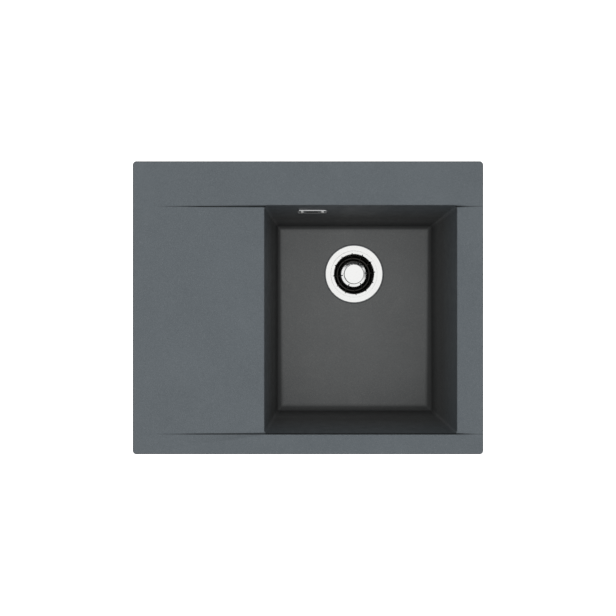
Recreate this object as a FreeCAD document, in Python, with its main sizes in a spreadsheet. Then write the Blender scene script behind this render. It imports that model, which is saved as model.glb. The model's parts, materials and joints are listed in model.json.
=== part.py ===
"""Kitchen sink with drainboard: an inset composite moulding with its overflow, waste and fixing clips.

Frame: +X to the right, +Y to the back, +Z up, in millimetres. Z = 0 is the worktop's top face. The origin
lies on the rim's seating land, at the middle of the front edge.
"""

import FreeCAD
import Part
import math
import os
import re
import Sketcher

Vector = FreeCAD.Vector

# The driving dimensions, in millimetres and degrees.
SIZES = {
    # rim, ledge and drainboard
    "rim_width": 610,
    "rim_depth": 510,
    "rim_height": 8,
    "rim_corner": 6.5,
    "rim_round": 2.5,
    "ledge_depth": 76.5,
    "front_rail": 35,
    "board_width": 228,
    "side_strip": 44,
    "board_start": 12,
    "strip_start": 5,
    "board_drop": 7.5,
    "ramp_overrun": 6,
    "step_draft": 12,
    "shell_wall": 9,
    # underside of the rim
    "lip_overlap": 12,
    "land_width": 5,
    "groove_width": 6.4,
    "seal_depth": 2.2,
    "seal_gap": 0.2,
    "cutout_gap": 2,
    "skirt_wall": 6,
    "skirt_drop": 18,
    "skirt_corner": 9,
    "rib_wall": 5,
    "rib_drop": 16,
    # bowl
    "bowl_depth": 200,
    "bowl_draft": 5,
    "bowl_wall": 8.5,
    "floor_wall": 10,
    "floor_tilt": 0.35,
    "corner_round": 5,
    "floor_round": 15,
    "foot_round": 20,
    "mouth_round": 2,
    # drain opening and tap knock-outs
    "drain_back": 111,
    "recess_gap": 1.5,
    "recess_depth": 3,
    "drain_gap": 2.6,
    "tap_radius": 17.5,
    "tap_back": 38,
    "tap_side": 222,
    "tap_skin": 4.5,
    "tap_boss_wall": 7,
    "tap_boss_drop": 8,
    # fixing clips
    "clip_inset": 22,
    "clip_across": 190,
    "clip_along": 140,
    "clip_boss": 8,
    "clip_boss_drop": 22,
    "insert_radius": 4,
    "insert_length": 10,
    "screw_radius": 2.5,
    "screw_fit": 0.05,
    "screw_engaged": 8.5,
    "screw_point": 0.8,
    "grip_open": 41,
    "claw_reach": 20,
    "claw_half": 7.5,
    "claw_sheet": 2,
    "toe_height": 9,
    "tooth_height": 2,
    "collar_radius": 4.4,
    "collar_height": 5,
    "flange_head_radius": 5.6,
    "flange_head_height": 1.2,
    "hex_head_half": 4,
    "hex_head_height": 3.6,
    # overflow
    "overflow_side": 7.6,
    "overflow_drop": 45.5,
    "plate_width": 53,
    "plate_tall": 25,
    "plate_proud": 2.2,
    "plate_sheet": 1,
    "plate_corner": 6,
    "plate_round": 0.9,
    "inlet_width": 28,
    "inlet_tall": 8,
    "slot_width": 45,
    "slot_tall": 13,
    "overflow_screw_side": 18.4,
    "overflow_screw_radius": 2,
    "overflow_screw_head": 3.6,
    "overflow_head_height": 1.4,
    "overflow_screw_bite": 9,
    "front_seal": 0.6,
    "rear_seal": 2,
    "box_width": 58,
    "box_tall": 30,
    "nut_gap": 0.2,
    "box_wall": 2.4,
    "box_corner": 8,
    # hose and its joints
    "hose_wall": 1.3,
    "hose_valley": 10.8,
    "hose_rib": 1.7,
    "rib_pitch": 7.6,
    "hose_bend": 64,
    "hose_entry": 11,
    "hose_fit": 0.2,
    "socket_wall": 3.5,
    "socket_length": 16,
    "nut_wall": 3.8,
    "nut_overlap": 11,
    "nut_lip": 2.6,
    "nut_grip": 1.6,
    "washer_thick": 3.4,
    # waste
    "gasket_top": 1.3,
    "gasket_bottom": 3,
    "flange_width": 10.2,
    "flange_sheet": 1.2,
    "seat_width": 5.4,
    "seat_drop": 1.2,
    "cup_radius": 41.4,
    "cup_sheet": 1,
    "cup_depth": 38.3,
    "cup_bevel": 3.5,
    "sump_radius": 14,
    "sump_depth": 5,
    "outlet_hole": 4.4,
    "outlet_ring": 21.5,
    "body_flange_width": 13,
    "body_flange": 4,
    "body_gap": 1,
    "body_wall": 3,
    "chamber_depth": 57,
    "funnel_drop": 11,
    "outlet_radius": 23.9,
    "outlet_bore": 19.5,
    "outlet_length": 24,
    "hub_radius": 12.5,
    "hub_height": 16,
    "arm_wall": 3.4,
    "branch_below": 39,
    "branch_neck": 1.6,
    # waste screw and its nut
    "waste_screw_radius": 6,
    "waste_screw_head": 11,
    "waste_head_height": 4,
    "waste_screw_length": 26,
    "peg_socket_depth": 15,
    "waste_nut_half": 9,
    "waste_nut_height": 8,
    # strainer basket
    "basket_fit": 0.8,
    "basket_sheet": 0.8,
    "basket_gap": 1.8,
    "basket_lean": 3.2,
    "basket_wall": 22,
    "trough_lean": 2.6,
    "trough_width": 2.6,
    "basket_depth": 26.5,
    "hub_lean": 2.4,
    "shoulder_lean": 1.2,
    "shoulder_drop": 14,
    "crown_width": 2.6,
    "crown_drop": 12.3,
    "hub_slope": 4.5,
    "hub_rise": 15.5,
    "slot_half": 1,
    "slot_turn": 5.5,
    "slot_reach": 3,
    "spindle_radius": 4,
    "spindle_fit": 0.08,
    "spindle_head": 7,
    "spindle_head_height": 1.6,
    "collar_height_spindle": 3,
    "collar_radius_spindle": 7,
    "peg_radius": 3,
    "peg_fit": 0.05,
    "peg_length": 13,
    "plug_lap": 4.1,
    "plug_height": 3,
    "clip_ring": 6,
    "clip_ring_height": 0.7,
    "knob_radius": 19.8,
    "knob_height": 3.2,
    "knob_neck": 9.5,
    "knob_lift": 7.6,
    "knob_crown": 1,
    "knob_gap": 0.6,
}

# Places and sizes worked out from the driving dimensions.
DERIVED = {
    # the plan: the front edge overhangs the middle of the seating land by half its width
    "left_edge": "-rim_width / 2",
    "right_edge": "rim_width / 2",
    "front_edge": "-land_width / 2",
    "back_edge": "rim_depth - land_width / 2",
    "middle_y": "(front_edge + back_edge) / 2",
    "skirt_inset": "lip_overlap + cutout_gap",
    "skirt_inner": "lip_overlap + cutout_gap + skirt_wall",
    "bowl_left": "left_edge + board_width",
    "bowl_right": "right_edge - side_strip",
    "bowl_front": "front_edge + front_rail",
    "bowl_back": "back_edge - ledge_depth",
    "bowl_middle_x": "(bowl_left + bowl_right) / 2",
    "bowl_middle_y": "(bowl_front + bowl_back) / 2",
    "board_begin": "left_edge + board_start",
    "strip_begin": "right_edge - strip_start",
    "board_fall": "board_drop / (board_width - board_start + ramp_overrun)",
    "strip_fall": "board_drop / (side_strip - strip_start + ramp_overrun)",
    "drain_x": "bowl_middle_x",
    "drain_y": "bowl_back - drain_back",
    "tap_y": "back_edge - tap_back",
    # levels of the moulding
    "slope": "tan(bowl_draft * 1deg)",
    "step_slope": "tan(step_draft * 1deg)",
    "floor_level": "rim_height - bowl_depth",
    "floor_under": "floor_level - floor_wall",
    "board_level": "rim_height - board_drop",
    "ceiling": "rim_height - shell_wall",
    # the overflow's axes, in its own frame and in the sink's
    "wall_y": "bowl_back - slope * overflow_drop",
    "overflow_z": "rim_height - overflow_drop",
    "wall_outside": "bowl_wall * cos(bowl_draft * 1deg)",
    "box_face": "wall_outside + rear_seal",
    "socket_axis": "box_face + box_deep / 2",
    "socket_mouth": "-box_tall / 2 - socket_length",
    "box_deep": "2 * (nut_radius - 0.3 + nut_grip + nut_gap - rear_seal)",
    "mouth_y": "wall_y + socket_axis * cos(bowl_draft * 1deg) + socket_mouth * sin(bowl_draft * 1deg)",
    "mouth_z": "overflow_z - socket_axis * sin(bowl_draft * 1deg) + socket_mouth * cos(bowl_draft * 1deg)",
    "hose_bore": "hose_valley - hose_wall",
    "hose_crest": "hose_valley + hose_rib",
    "socket_bore": "hose_valley + hose_fit",
    "socket_radius": "socket_bore + socket_wall",
    "nut_bore": "socket_radius + hose_fit",
    "nut_radius": "socket_radius + hose_fit + nut_wall",
    # radii that follow the cup: the hole it hangs in, its flange and recess, and the body below
    "drain_hole": "cup_radius + cup_sheet + drain_gap",
    "seat_radius": "cup_radius + seat_width",
    "flange_radius": "seat_radius + flange_width",
    "recess_radius": "flange_radius + recess_gap",
    "body_bore": "cup_radius + cup_sheet + body_gap",
    "body_flange_radius": "drain_hole + body_flange_width",
    "plug_radius": "outlet_ring + outlet_hole + plug_lap",
    # radii of the basket, from its rim inwards
    "basket_radius": "seat_radius - basket_fit",
    "basket_rim": "cup_radius - basket_gap",
    "basket_foot": "basket_rim - basket_lean",
    "trough_outside": "basket_foot - trough_lean",
    "trough_inside": "trough_outside - trough_width",
    "hub_foot": "trough_inside - hub_lean",
    "shoulder_radius": "hub_foot - shoulder_lean",
    "crown_radius": "shoulder_radius - crown_width",
    "hub_top": "crown_radius - hub_slope",
    "slot_outside": "basket_rim + slot_reach",
    # levels of the waste, from the sink's floor down
    "recess_level": "floor_level - recess_depth",
    "flange_low": "recess_level + gasket_top",
    "flange_top": "flange_low + flange_sheet",
    "seat_level": "flange_top - seat_drop",
    "cup_floor": "seat_level - cup_depth",
    "sump_floor": "cup_floor - sump_depth",
    "body_top": "floor_under - gasket_bottom",
    "chamber_low": "body_top - chamber_depth",
    "outlet_top": "chamber_low - funnel_drop",
    "outlet_end": "outlet_top - outlet_length",
    "branch_z": "body_top - branch_below",
    "branch_reach": "body_bore + body_wall + branch_neck",
    "branch_end": "branch_reach + socket_length",
    "turn_y": "mouth_y - (mouth_z - branch_z) * slope",
    "branch_angle": "atan2(turn_y - drain_y; overflow_side - drain_x)",
    "nut_roof": "chamber_low + waste_nut_height + 2",
    # levels of the basket
    "basket_top": "seat_level + basket_sheet",
    "basket_floor": "basket_top - basket_depth",
    "hub_level": "basket_floor + hub_rise",
    "plug_top": "cup_floor + plug_height",
    # the clips
    "claw_low": "-grip_open - toe_height - claw_sheet",
    "shank_tip": "-clip_boss_drop + screw_engaged",
}

SHEET = "Sizes"
WORD = re.compile(r"[A-Za-z_][A-Za-z_0-9]*")
CLIPS = {  # name: (x, y, angle of the parked claw, swing towards the rim)
    "front_left": ("-clip_across", "front_edge + clip_inset", 0, -1),
    "front_right": ("clip_across", "front_edge + clip_inset", 180, 1),
    "back_left": ("-clip_across", "back_edge - clip_inset", 0, 1),
    "back_right": ("clip_across", "back_edge - clip_inset", 180, -1),
    "left_front": ("left_edge + clip_inset", "bowl_middle_y - clip_along", 90, 1),
    "left_back": ("left_edge + clip_inset", "bowl_middle_y + clip_along", -90, -1),
    "right_front": ("right_edge - clip_inset", "bowl_middle_y - clip_along", 90, -1),
    "right_back": ("right_edge - clip_inset", "bowl_middle_y + clip_along", -90, 1),
}

doc = FreeCAD.newDocument("kitchen_sink")
sheet = doc.addObject("Spreadsheet::Sheet", SHEET)
for row, (size_name, size) in enumerate(SIZES.items(), start=1):
    sheet.set(f"A{row}", size_name)
    sheet.set(f"B{row}", str(size))
    sheet.setAlias(f"B{row}", size_name)
doc.recompute()


# ---------------------------------------------------------------- formulas


def formula(text):
    """The text as an expression of the document: sizes become cells and derived places their own formulas."""

    def spell(match):
        word = match.group(0)
        if word in SIZES:
            return f"{SHEET}.{word}"
        if word in DERIVED:
            return "(" + formula(DERIVED[word]) + ")"
        return word

    return WORD.sub(spell, str(text))


def number(text):
    """The value of a formula."""
    return float(sheet.evalExpression(formula(text)))


def is_plain(text):
    """Whether the text is a bare number, which needs no binding."""
    return not WORD.search(str(text))


def bind(item, path, text):
    """Binds a property of a document object to a formula."""
    item.setExpression(path, formula(text))


def place(item, x="0", y="0", z="0", axis=(0, 0, 1), angle="0"):
    """Binds an object's placement: a point and a turn about an axis."""
    turn = f"rotation(vector({axis[0]}; {axis[1]}; {axis[2]}); {formula(angle)})"
    point = f"vector({formula(x)}; {formula(y)}; {formula(z)})"
    item.setExpression("Placement", f"placement({point}; {turn})")


# ---------------------------------------------------------------- sketches


def new_body(name):
    """A body that carries its name as its label."""
    made = doc.addObject("PartDesign::Body", name)
    made.Label = name
    return made


def sketch_on(body, plane, x="0", y="0", z="0", axis=(1, 0, 0), angle="0"):
    """A sketch on one of the body's origin planes, moved along its own axes and turned about one."""
    made = body.newObject("Sketcher::SketchObject", body.Name + "_sketch")
    base = next(item for item in body.Origin.OriginFeatures if item.Role == plane)
    made.AttachmentSupport = [(base, "")]
    made.MapMode = "FlatFace"
    turn = f"rotation(vector({axis[0]}; {axis[1]}; {axis[2]}); {formula(angle)})"
    point = f"vector({formula(x)}; {formula(y)}; {formula(z)})"
    made.setExpression("AttachmentOffset", f"placement({point}; {turn})")
    return made


def fix(sketch, kind, geometry, text, *, point=None):
    """A dimension of a sketch, bound to a formula: a radius, or a distance from the origin."""
    value = number(text)
    if kind == "Radius":
        made = sketch.addConstraint(Sketcher.Constraint(kind, geometry, value))
    else:
        made = sketch.addConstraint(Sketcher.Constraint(kind, -1, 1, geometry, point, value))
    if not is_plain(text):
        sketch.renameConstraint(made, f"size{made}")
        bind(sketch, f"Constraints.size{made}", text)


def add_circle(sketch, x, y, radius):
    """A circle whose centre and radius are formulas."""
    centre = Vector(number(x), number(y), 0)
    made = sketch.addGeometry(Part.Circle(centre, Vector(0, 0, 1), number(radius)))
    fix(sketch, "DistanceX", made, x, point=3)
    fix(sketch, "DistanceY", made, y, point=3)
    fix(sketch, "Radius", made, radius)


def rounding(before, corner, after, radius):
    """Where a corner's rounding meets its two lines, its centre, and whether it turns left."""
    back = (before - corner).normalize()
    ahead = (after - corner).normalize()
    half = back.getAngle(ahead) / 2
    trim = radius / math.tan(half)
    centre = corner + (back + ahead).normalize() * (radius / math.sin(half))
    turns_left = (corner - before).cross(after - corner).z > 0
    return corner + back * trim, corner + ahead * trim, centre, turns_left


def add_outline(sketch, corners):
    """A closed outline through corners, each (x, y) or (x, y, radius) in formulas."""
    count = len(corners)
    sharp = [Vector(number(c[0]), number(c[1]), 0) for c in corners]
    arrive, leave, arcs = list(sharp), list(sharp), {}
    for i, corner in enumerate(corners):
        if len(corner) < 3:
            continue
        radius = number(corner[2])
        after = sharp[(i + 1) % count]
        arrive[i], leave[i], centre, left = rounding(sharp[i - 1], sharp[i], after, radius)
        first, last = (arrive[i], leave[i]) if left else (leave[i], arrive[i])
        angles = [math.atan2(p.y - centre.y, p.x - centre.x) for p in (first, last)]
        arc = Part.ArcOfCircle(Part.Circle(centre, Vector(0, 0, 1), radius), *angles)
        point = sketch.addGeometry(Part.Point(sharp[i]), True)
        arcs[i] = (sketch.addGeometry(arc), point, 1 if left else 2)
    ends = zip(leave, arrive[1:] + arrive[:1])
    lines = [sketch.addGeometry(Part.LineSegment(first, last)) for first, last in ends]
    for i, corner in enumerate(corners):
        before, after = lines[i - 1], lines[i]
        if i not in arcs:
            sketch.addConstraint(Sketcher.Constraint("Coincident", before, 2, after, 1))
            fix(sketch, "DistanceX", after, corner[0], point=1)
            fix(sketch, "DistanceY", after, corner[1], point=1)
            continue
        arc, point, first_end = arcs[i]
        fix(sketch, "DistanceX", point, corner[0], point=1)
        fix(sketch, "DistanceY", point, corner[1], point=1)
        sketch.addConstraint(
            [
                Sketcher.Constraint("PointOnObject", point, 1, before),
                Sketcher.Constraint("PointOnObject", point, 1, after),
                Sketcher.Constraint("Tangent", before, 2, arc, first_end),
                Sketcher.Constraint("Tangent", arc, 3 - first_end, after, 1),
            ]
        )
        fix(sketch, "Radius", arc, corner[2])


def rectangle(x, y, half_width, half_length, radius=None):
    """The corners of a rectangle about a centre, for add_outline."""
    round_of = () if radius is None else (radius,)
    signs = ((-1, -1), (1, -1), (1, 1), (-1, 1))
    return [(f"{x} + {i} * ({half_width})", f"{y} + {j} * ({half_length})", *round_of) for i, j in signs]


# ---------------------------------------------------------------- features


def checked(body, feature, cuts=False):
    """Recomputes a new feature and makes sure that it changed its body."""
    base = feature.BaseFeature
    before = base.Shape.Volume if base else 0.0
    doc.recompute()
    if not feature.isValid() or feature.Shape.isNull():
        raise ValueError(f"{feature.Label} of {body.Label} failed: {feature.State}")
    change = feature.Shape.Volume - before
    if (change >= 0) if cuts else (abs(change) < 1e-6):
        raise ValueError(f"{feature.Label} of {body.Label} changed nothing: {change}")
    return feature


def pad(body, sketch, length, reverse=False):
    """Extrudes a sketch along its normal, or against it."""
    made = body.newObject("PartDesign::Pad", "Pad")
    made.Profile = (sketch, [""])
    bind(made, "Length", length)
    made.Reversed = reverse
    return checked(body, made)


def pocket(body, sketch, length, reverse=False, both=False):
    """Cuts a sketch against its normal, or along it, or both ways."""
    made = body.newObject("PartDesign::Pocket", "Pocket")
    made.Profile = (sketch, [""])
    bind(made, "Length", length)
    made.Reversed = reverse
    if both:
        made.SideType = "Symmetric"
    return checked(body, made, cuts=True)


def revolve(body, sketch, cut=False):
    """Turns a sketch on the XZ plane once round the body's Z axis."""
    kind = "PartDesign::Groove" if cut else "PartDesign::Revolution"
    made = body.newObject(kind, "Turned")
    made.Profile = (sketch, [""])
    made.ReferenceAxis = (sketch, ["V_Axis"])
    made.Angle = 360
    return checked(body, made, cuts=cut)


def draft_sides(body, feature, angle):
    """Draws in the upright faces of an extrusion below its top face."""
    top = feature.Shape.BoundBox.ZMax
    faces = {f"Face{i}": face.BoundBox for i, face in enumerate(feature.Shape.Faces, start=1)}
    made = body.newObject("PartDesign::Draft", "Draft")
    made.Base = (feature, [name for name, box in faces.items() if box.ZLength > 1e-3])
    made.NeutralPlane = (feature, [name for name, box in faces.items() if box.ZMin > top - 1e-3])
    made.Reversed = True
    bind(made, "Angle", angle)
    return checked(body, made)


def combine(body, other, cut=False):
    """Fuses another body into this one, or cuts it out."""
    made = body.newObject("PartDesign::Boolean", "Boolean")
    made.Type = "Cut" if cut else "Fuse"
    made.setObjects([other])
    return checked(body, made, cuts=cut)


def round_edges(body, wanted, radius):
    """Fillets the edges of the body's tip that the test picks."""
    base = body.Tip
    names = [f"Edge{i}" for i, edge in enumerate(base.Shape.Edges, start=1) if wanted(edge)]
    made = body.newObject("PartDesign::Fillet", "Fillet")
    made.Base = (base, names)
    bind(made, "Radius", radius)
    return checked(body, made)


def repeat_round(body, feature, count, angle=360):
    """Repeats a feature round the body's Z axis."""
    made = body.newObject("PartDesign::PolarPattern", "Pattern")
    made.Originals = [feature]
    made.Axis = (next(item for item in body.Origin.OriginFeatures if item.Role == "Z_Axis"), [""])
    made.Angle = angle
    made.Occurrences = count
    body.Tip = made
    return checked(body, made)


def turned(name, corners, x="drain_x", y="drain_y"):
    """A piece turned about a vertical axis, from its outline as (radius, height) corners."""
    body = new_body(name)
    place(body, x, y)
    sketch = sketch_on(body, "XZ_Plane")
    add_outline(sketch, corners)
    revolve(body, sketch)
    return body


def flat_at(edge, level):
    """Whether an edge lies at one height."""
    return all(abs(vertex.Z - level) < 1e-4 for vertex in edge.Vertexes)


# ---------------------------------------------------------------- the sink moulding


def sink_moulding():
    """The one-piece moulding: rim, ledge, sloped drainboard, bowl and the ribbed underside."""
    body = new_body("sink_body")
    rim = sketch_on(body, "XY_Plane")
    add_outline(rim, rectangle("0", "middle_y", "rim_width / 2", "rim_depth / 2", "rim_corner"))
    pad(body, rim, "rim_height")
    top = number("rim_height")
    round_edges(body, lambda edge: flat_at(edge, top), "rim_round")
    skirt_and_shell(body)
    stiffening_ribs(body)
    bowl_outside(body)
    clip_bosses(body)
    tap_knock_outs(body)
    drainboard_surface(body)
    bowl_inside(body)
    drain_opening(body)
    wall_slot(body)
    seal_groove(body)
    return body


def skirt_and_shell(body):
    """The skirt that drops through the worktop's cut-out, hollow below the ledge and drainboard."""
    skirt = sketch_on(body, "XY_Plane")
    half_x, half_y = "rim_width / 2 - skirt_inset", "rim_depth / 2 - skirt_inset"
    add_outline(skirt, rectangle("0", "middle_y", half_x, half_y, "skirt_corner"))
    pad(body, skirt, "skirt_drop", reverse=True)
    left, right, low = "left_edge + skirt_inner", "right_edge - skirt_inner", "-skirt_drop - 1"
    under_ledge = sketch_on(body, "XZ_Plane", z="-(back_edge - skirt_inner)")
    add_outline(under_ledge, [(left, low), (left, "ceiling"), (right, "ceiling"), (right, low)])
    pocket(body, under_ledge, "ledge_depth - skirt_inner - bowl_wall", reverse=True)
    under_board = sketch_on(body, "XZ_Plane", z="-(front_edge + skirt_inner)")
    roof = [
        (left, low),
        (left, "ceiling - board_fall * (skirt_inner - board_start)"),
        ("bowl_left", "ceiling - board_drop"),
        ("bowl_right", "ceiling - board_drop"),
        (right, "ceiling - strip_fall * (skirt_inner - strip_start)"),
        (right, low),
    ]
    add_outline(under_board, roof)
    pocket(body, under_board, "rim_depth - skirt_inner - ledge_depth + bowl_wall")


def stiffening_ribs(body):
    """Ribs below the drainboard: three run from skirt to bowl, three from front rail to ledge."""
    start = "left_edge + skirt_inner - skirt_wall / 2"
    for share in (-1, 0, 1):
        place_y = f"bowl_middle_y + {share} * rim_depth / 4 + rib_wall / 2"
        cross = sketch_on(body, "XZ_Plane", z=f"-({place_y})")
        outline = [
            (start, "-rib_drop"),
            (start, "ceiling + rib_wall / 2"),
            ("bowl_left", "ceiling + rib_wall / 2 - board_drop"),
            ("bowl_left", "-rib_drop"),
        ]
        add_outline(cross, outline)
        pad(body, cross, "rib_wall", reverse=True)
    for share in (1, 2, 3):
        place_x = f"left_edge + skirt_inner + (board_width - skirt_inner) * {share} / 4 - rib_wall / 2"
        along = sketch_on(body, "YZ_Plane", z=place_x)
        front, back = "front_edge + skirt_inner - skirt_wall / 2", "bowl_back + bowl_wall"
        roof = f"ceiling + rib_wall / 2 - board_drop * {share} / 4"
        add_outline(along, [(front, "-rib_drop"), (back, "-rib_drop"), (back, roof), (front, roof)])
        pad(body, along, "rib_wall")


def bowl_block(name, top, low, grow, foot, corner, tilt="0"):
    """A drafted block in the bowl's outline, grown by a wall, with a rounded foot and rounded corners."""
    block = new_body(name)
    outline = sketch_on(block, "XY_Plane", z=top)
    half_x = f"(bowl_right - bowl_left) / 2 + {grow} - slope * (rim_height - ({top}))"
    half_y = f"(bowl_back - bowl_front) / 2 + {grow} - slope * (rim_height - ({top}))"
    add_outline(outline, rectangle("bowl_middle_x", "bowl_middle_y", half_x, half_y))
    draft_sides(block, pad(block, outline, f"{top} - ({low}) + 5", reverse=True), "bowl_draft")
    below = sketch_on(block, "YZ_Plane", z="bowl_left - floor_wall")
    front, back, fall = "bowl_front - floor_wall", "bowl_back + floor_wall", f"tan({tilt} * 1deg)"
    floor = [(y, f"{low} + {fall} * (drain_y - ({y}))") for y in (back, front)]
    add_outline(below, [(front, f"{low} - 10"), (back, f"{low} - 10"), *floor])
    pocket(block, below, "bowl_right - bowl_left + 2 * floor_wall", reverse=True)
    deepest = block.Tip.Shape.BoundBox.ZMin
    round_edges(block, lambda edge: edge.BoundBox.ZMax < deepest + 5, foot)
    round_edges(block, is_upright, corner)
    return block


def is_upright(edge):
    """Whether an edge climbs along a corner of a drafted block."""
    box = edge.BoundBox
    return box.ZLength > 5 * max(box.XLength, box.YLength)


def bowl_outside(body):
    """The bowl's outer form, fused to the underside."""
    levels, corner = ("board_level", "floor_under"), "corner_round + bowl_wall"
    combine(body, bowl_block("bowl_shell", *levels, "bowl_wall", "foot_round", corner))


def clip_bosses(body):
    """A round boss for each clip, with a blind hole for its threaded insert."""
    bosses = sketch_on(body, "XY_Plane", z="-clip_boss_drop")
    holes = sketch_on(body, "XY_Plane", z="-clip_boss_drop")
    for x, y, _, _ in CLIPS.values():
        add_circle(bosses, x, y, "clip_boss")
        add_circle(holes, x, y, "insert_radius")
    pad(body, bosses, "clip_boss_drop")
    pocket(body, holes, "clip_boss_drop", reverse=True)


def tap_knock_outs(body):
    """Two blind holes under the ledge, knocked through where a tap is wanted."""
    bosses = sketch_on(body, "XY_Plane", z="-tap_boss_drop")
    holes = sketch_on(body, "XY_Plane", z="-tap_boss_drop")
    for x in ("drain_x", "drain_x - tap_side"):
        add_circle(bosses, x, "tap_y", "tap_radius + tap_boss_wall")
        add_circle(holes, x, "tap_y", "tap_radius")
    pad(body, bosses, "tap_boss_drop")
    pocket(body, holes, "tap_boss_drop + rim_height - tap_skin", reverse=True)


def drainboard_surface(body):
    """The channel between ledge and front rail, and the two ramps in it that fall to the bowl."""
    channel = sketch_on(body, "YZ_Plane", z="strip_begin")
    outline = [
        ("bowl_front", "rim_height"),
        ("bowl_front + step_slope * board_drop", "board_level"),
        ("bowl_back - step_slope * board_drop", "board_level"),
        ("bowl_back", "rim_height"),
    ]
    add_outline(channel, outline)
    pocket(body, channel, "rim_width - board_start - strip_start")
    ramps = (("board_begin", "bowl_left + ramp_overrun"), ("strip_begin", "bowl_right - ramp_overrun"))
    for begin, end in ramps:
        ramp = sketch_on(body, "XZ_Plane", z="-bowl_back")
        add_outline(ramp, [(begin, "rim_height"), (end, "board_level"), (begin, "board_level")])
        pad(body, ramp, "bowl_back - bowl_front", reverse=False)


def bowl_inside(body):
    """The bowl's inside, with a floor that falls towards the back, and the soft edge of its mouth."""
    levels, rounds = ("rim_height", "floor_level"), ("floor_round", "corner_round")
    void = bowl_block("bowl_void", *levels, "0", *rounds, "floor_tilt")
    combine(body, void, cut=True)
    lows = [number(name) for name in ("bowl_left", "bowl_front", "board_level - board_drop / 2")]
    highs = [number(name) for name in ("bowl_right", "bowl_back", "rim_height")]

    def on_mouth(edge):
        box = edge.BoundBox
        least, most = (box.XMin, box.YMin, box.ZMin), (box.XMax, box.YMax, box.ZMax)
        above = all(value >= low - 0.5 for value, low in zip(least, lows))
        return above and all(value <= high + 0.5 for value, high in zip(most, highs))

    round_edges(body, on_mouth, "mouth_round")


def drain_opening(body):
    """The seat for the waste's flange and the hole through the floor."""
    seat = sketch_on(body, "XY_Plane", z="recess_level")
    add_circle(seat, "drain_x", "drain_y", "recess_radius")
    pocket(body, seat, "2 * recess_depth", reverse=True)
    hole = sketch_on(body, "XY_Plane", z="floor_level")
    add_circle(hole, "drain_x", "drain_y", "drain_hole")
    pocket(body, hole, "floor_wall + 1")


def wall_slot(body):
    """The overflow's slot through the back wall, square to the drafted wall."""
    centre = {"x": "overflow_side", "y": "overflow_z", "z": "-wall_y"}
    slot = sketch_on(body, "XZ_Plane", **centre, angle="-bowl_draft")
    add_outline(slot, rectangle("0", "0", "slot_width / 2", "slot_tall / 2", "slot_tall / 2 - 0.1"))
    pocket(body, slot, "bowl_wall * 4", both=True)


def ring_of_rim(body, outer, inner):
    """A sketch on the seating land's level: the ring between two distances from the rim's edge."""
    ring = sketch_on(body, "XY_Plane")
    for inset in (outer, inner):
        half_x, half_y = f"rim_width / 2 - ({inset})", f"rim_depth / 2 - ({inset})"
        corner = f"skirt_corner + skirt_inset - ({inset})"
        add_outline(ring, rectangle("0", "middle_y", half_x, half_y, corner))
    return ring


def seal_groove(body):
    """The groove behind the seating land that holds the rim's seal."""
    ring = ring_of_rim(body, "land_width", "land_width + groove_width")
    pocket(body, ring, "seal_depth", reverse=True)


def rim_seal():
    """The foam seal, pressed flush with the seating land."""
    body = new_body("rim_seal")
    ring = ring_of_rim(body, "land_width + seal_gap", "land_width + groove_width - seal_gap")
    pad(body, ring, "seal_depth")
    return body


# ---------------------------------------------------------------- fixing clips


def hexagon(half):
    """A hexagon about the origin, from half its width across the flats."""
    reach = f"({half}) / cos(30deg)"
    return [(f"{reach} * cos({60 * i}deg)", f"{reach} * sin({60 * i}deg)") for i in range(6)]


def gathered(name, items):
    """A node that holds several like pieces as separate solids."""
    made = doc.addObject("Part::Compound", name)
    made.Label = name
    made.Links = items
    return made


def clip_inserts():
    """The threaded brass inserts in the bosses, all in one node."""
    made = []
    for name, (x, y, _, _) in CLIPS.items():
        outer = doc.addObject("Part::Cylinder", f"insert_{name}")
        bore = doc.addObject("Part::Cylinder", f"thread_{name}")
        bind(outer, "Radius", "insert_radius")
        bind(bore, "Radius", "screw_radius + screw_fit")
        for cylinder in (outer, bore):
            bind(cylinder, "Height", "insert_length")
            place(cylinder, x, y, "-clip_boss_drop")
        cut = doc.addObject("Part::Cut", f"bored_{name}")
        cut.Base = outer
        cut.Tool = bore
        made.append(cut)
    return gathered("clip_inserts", made)


def clip_screw(name, x, y):
    """A flanged hexagon screw: its shank runs up into the insert and its flange carries the claw."""
    low = "claw_low - flange_head_height"
    outline = [
        ("0", low),
        ("flange_head_radius", low),
        ("flange_head_radius", "claw_low"),
        ("screw_radius", "claw_low"),
        ("screw_radius", "shank_tip - screw_point"),
        ("screw_radius - screw_point", "shank_tip"),
        ("0", "shank_tip"),
    ]
    body = turned(f"clip_screw_{name}", outline, x, y)
    head = sketch_on(body, "XY_Plane", z=low)
    add_outline(head, hexagon("hex_head_half"))
    pad(body, head, "hex_head_height", reverse=True)
    return body


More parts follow.
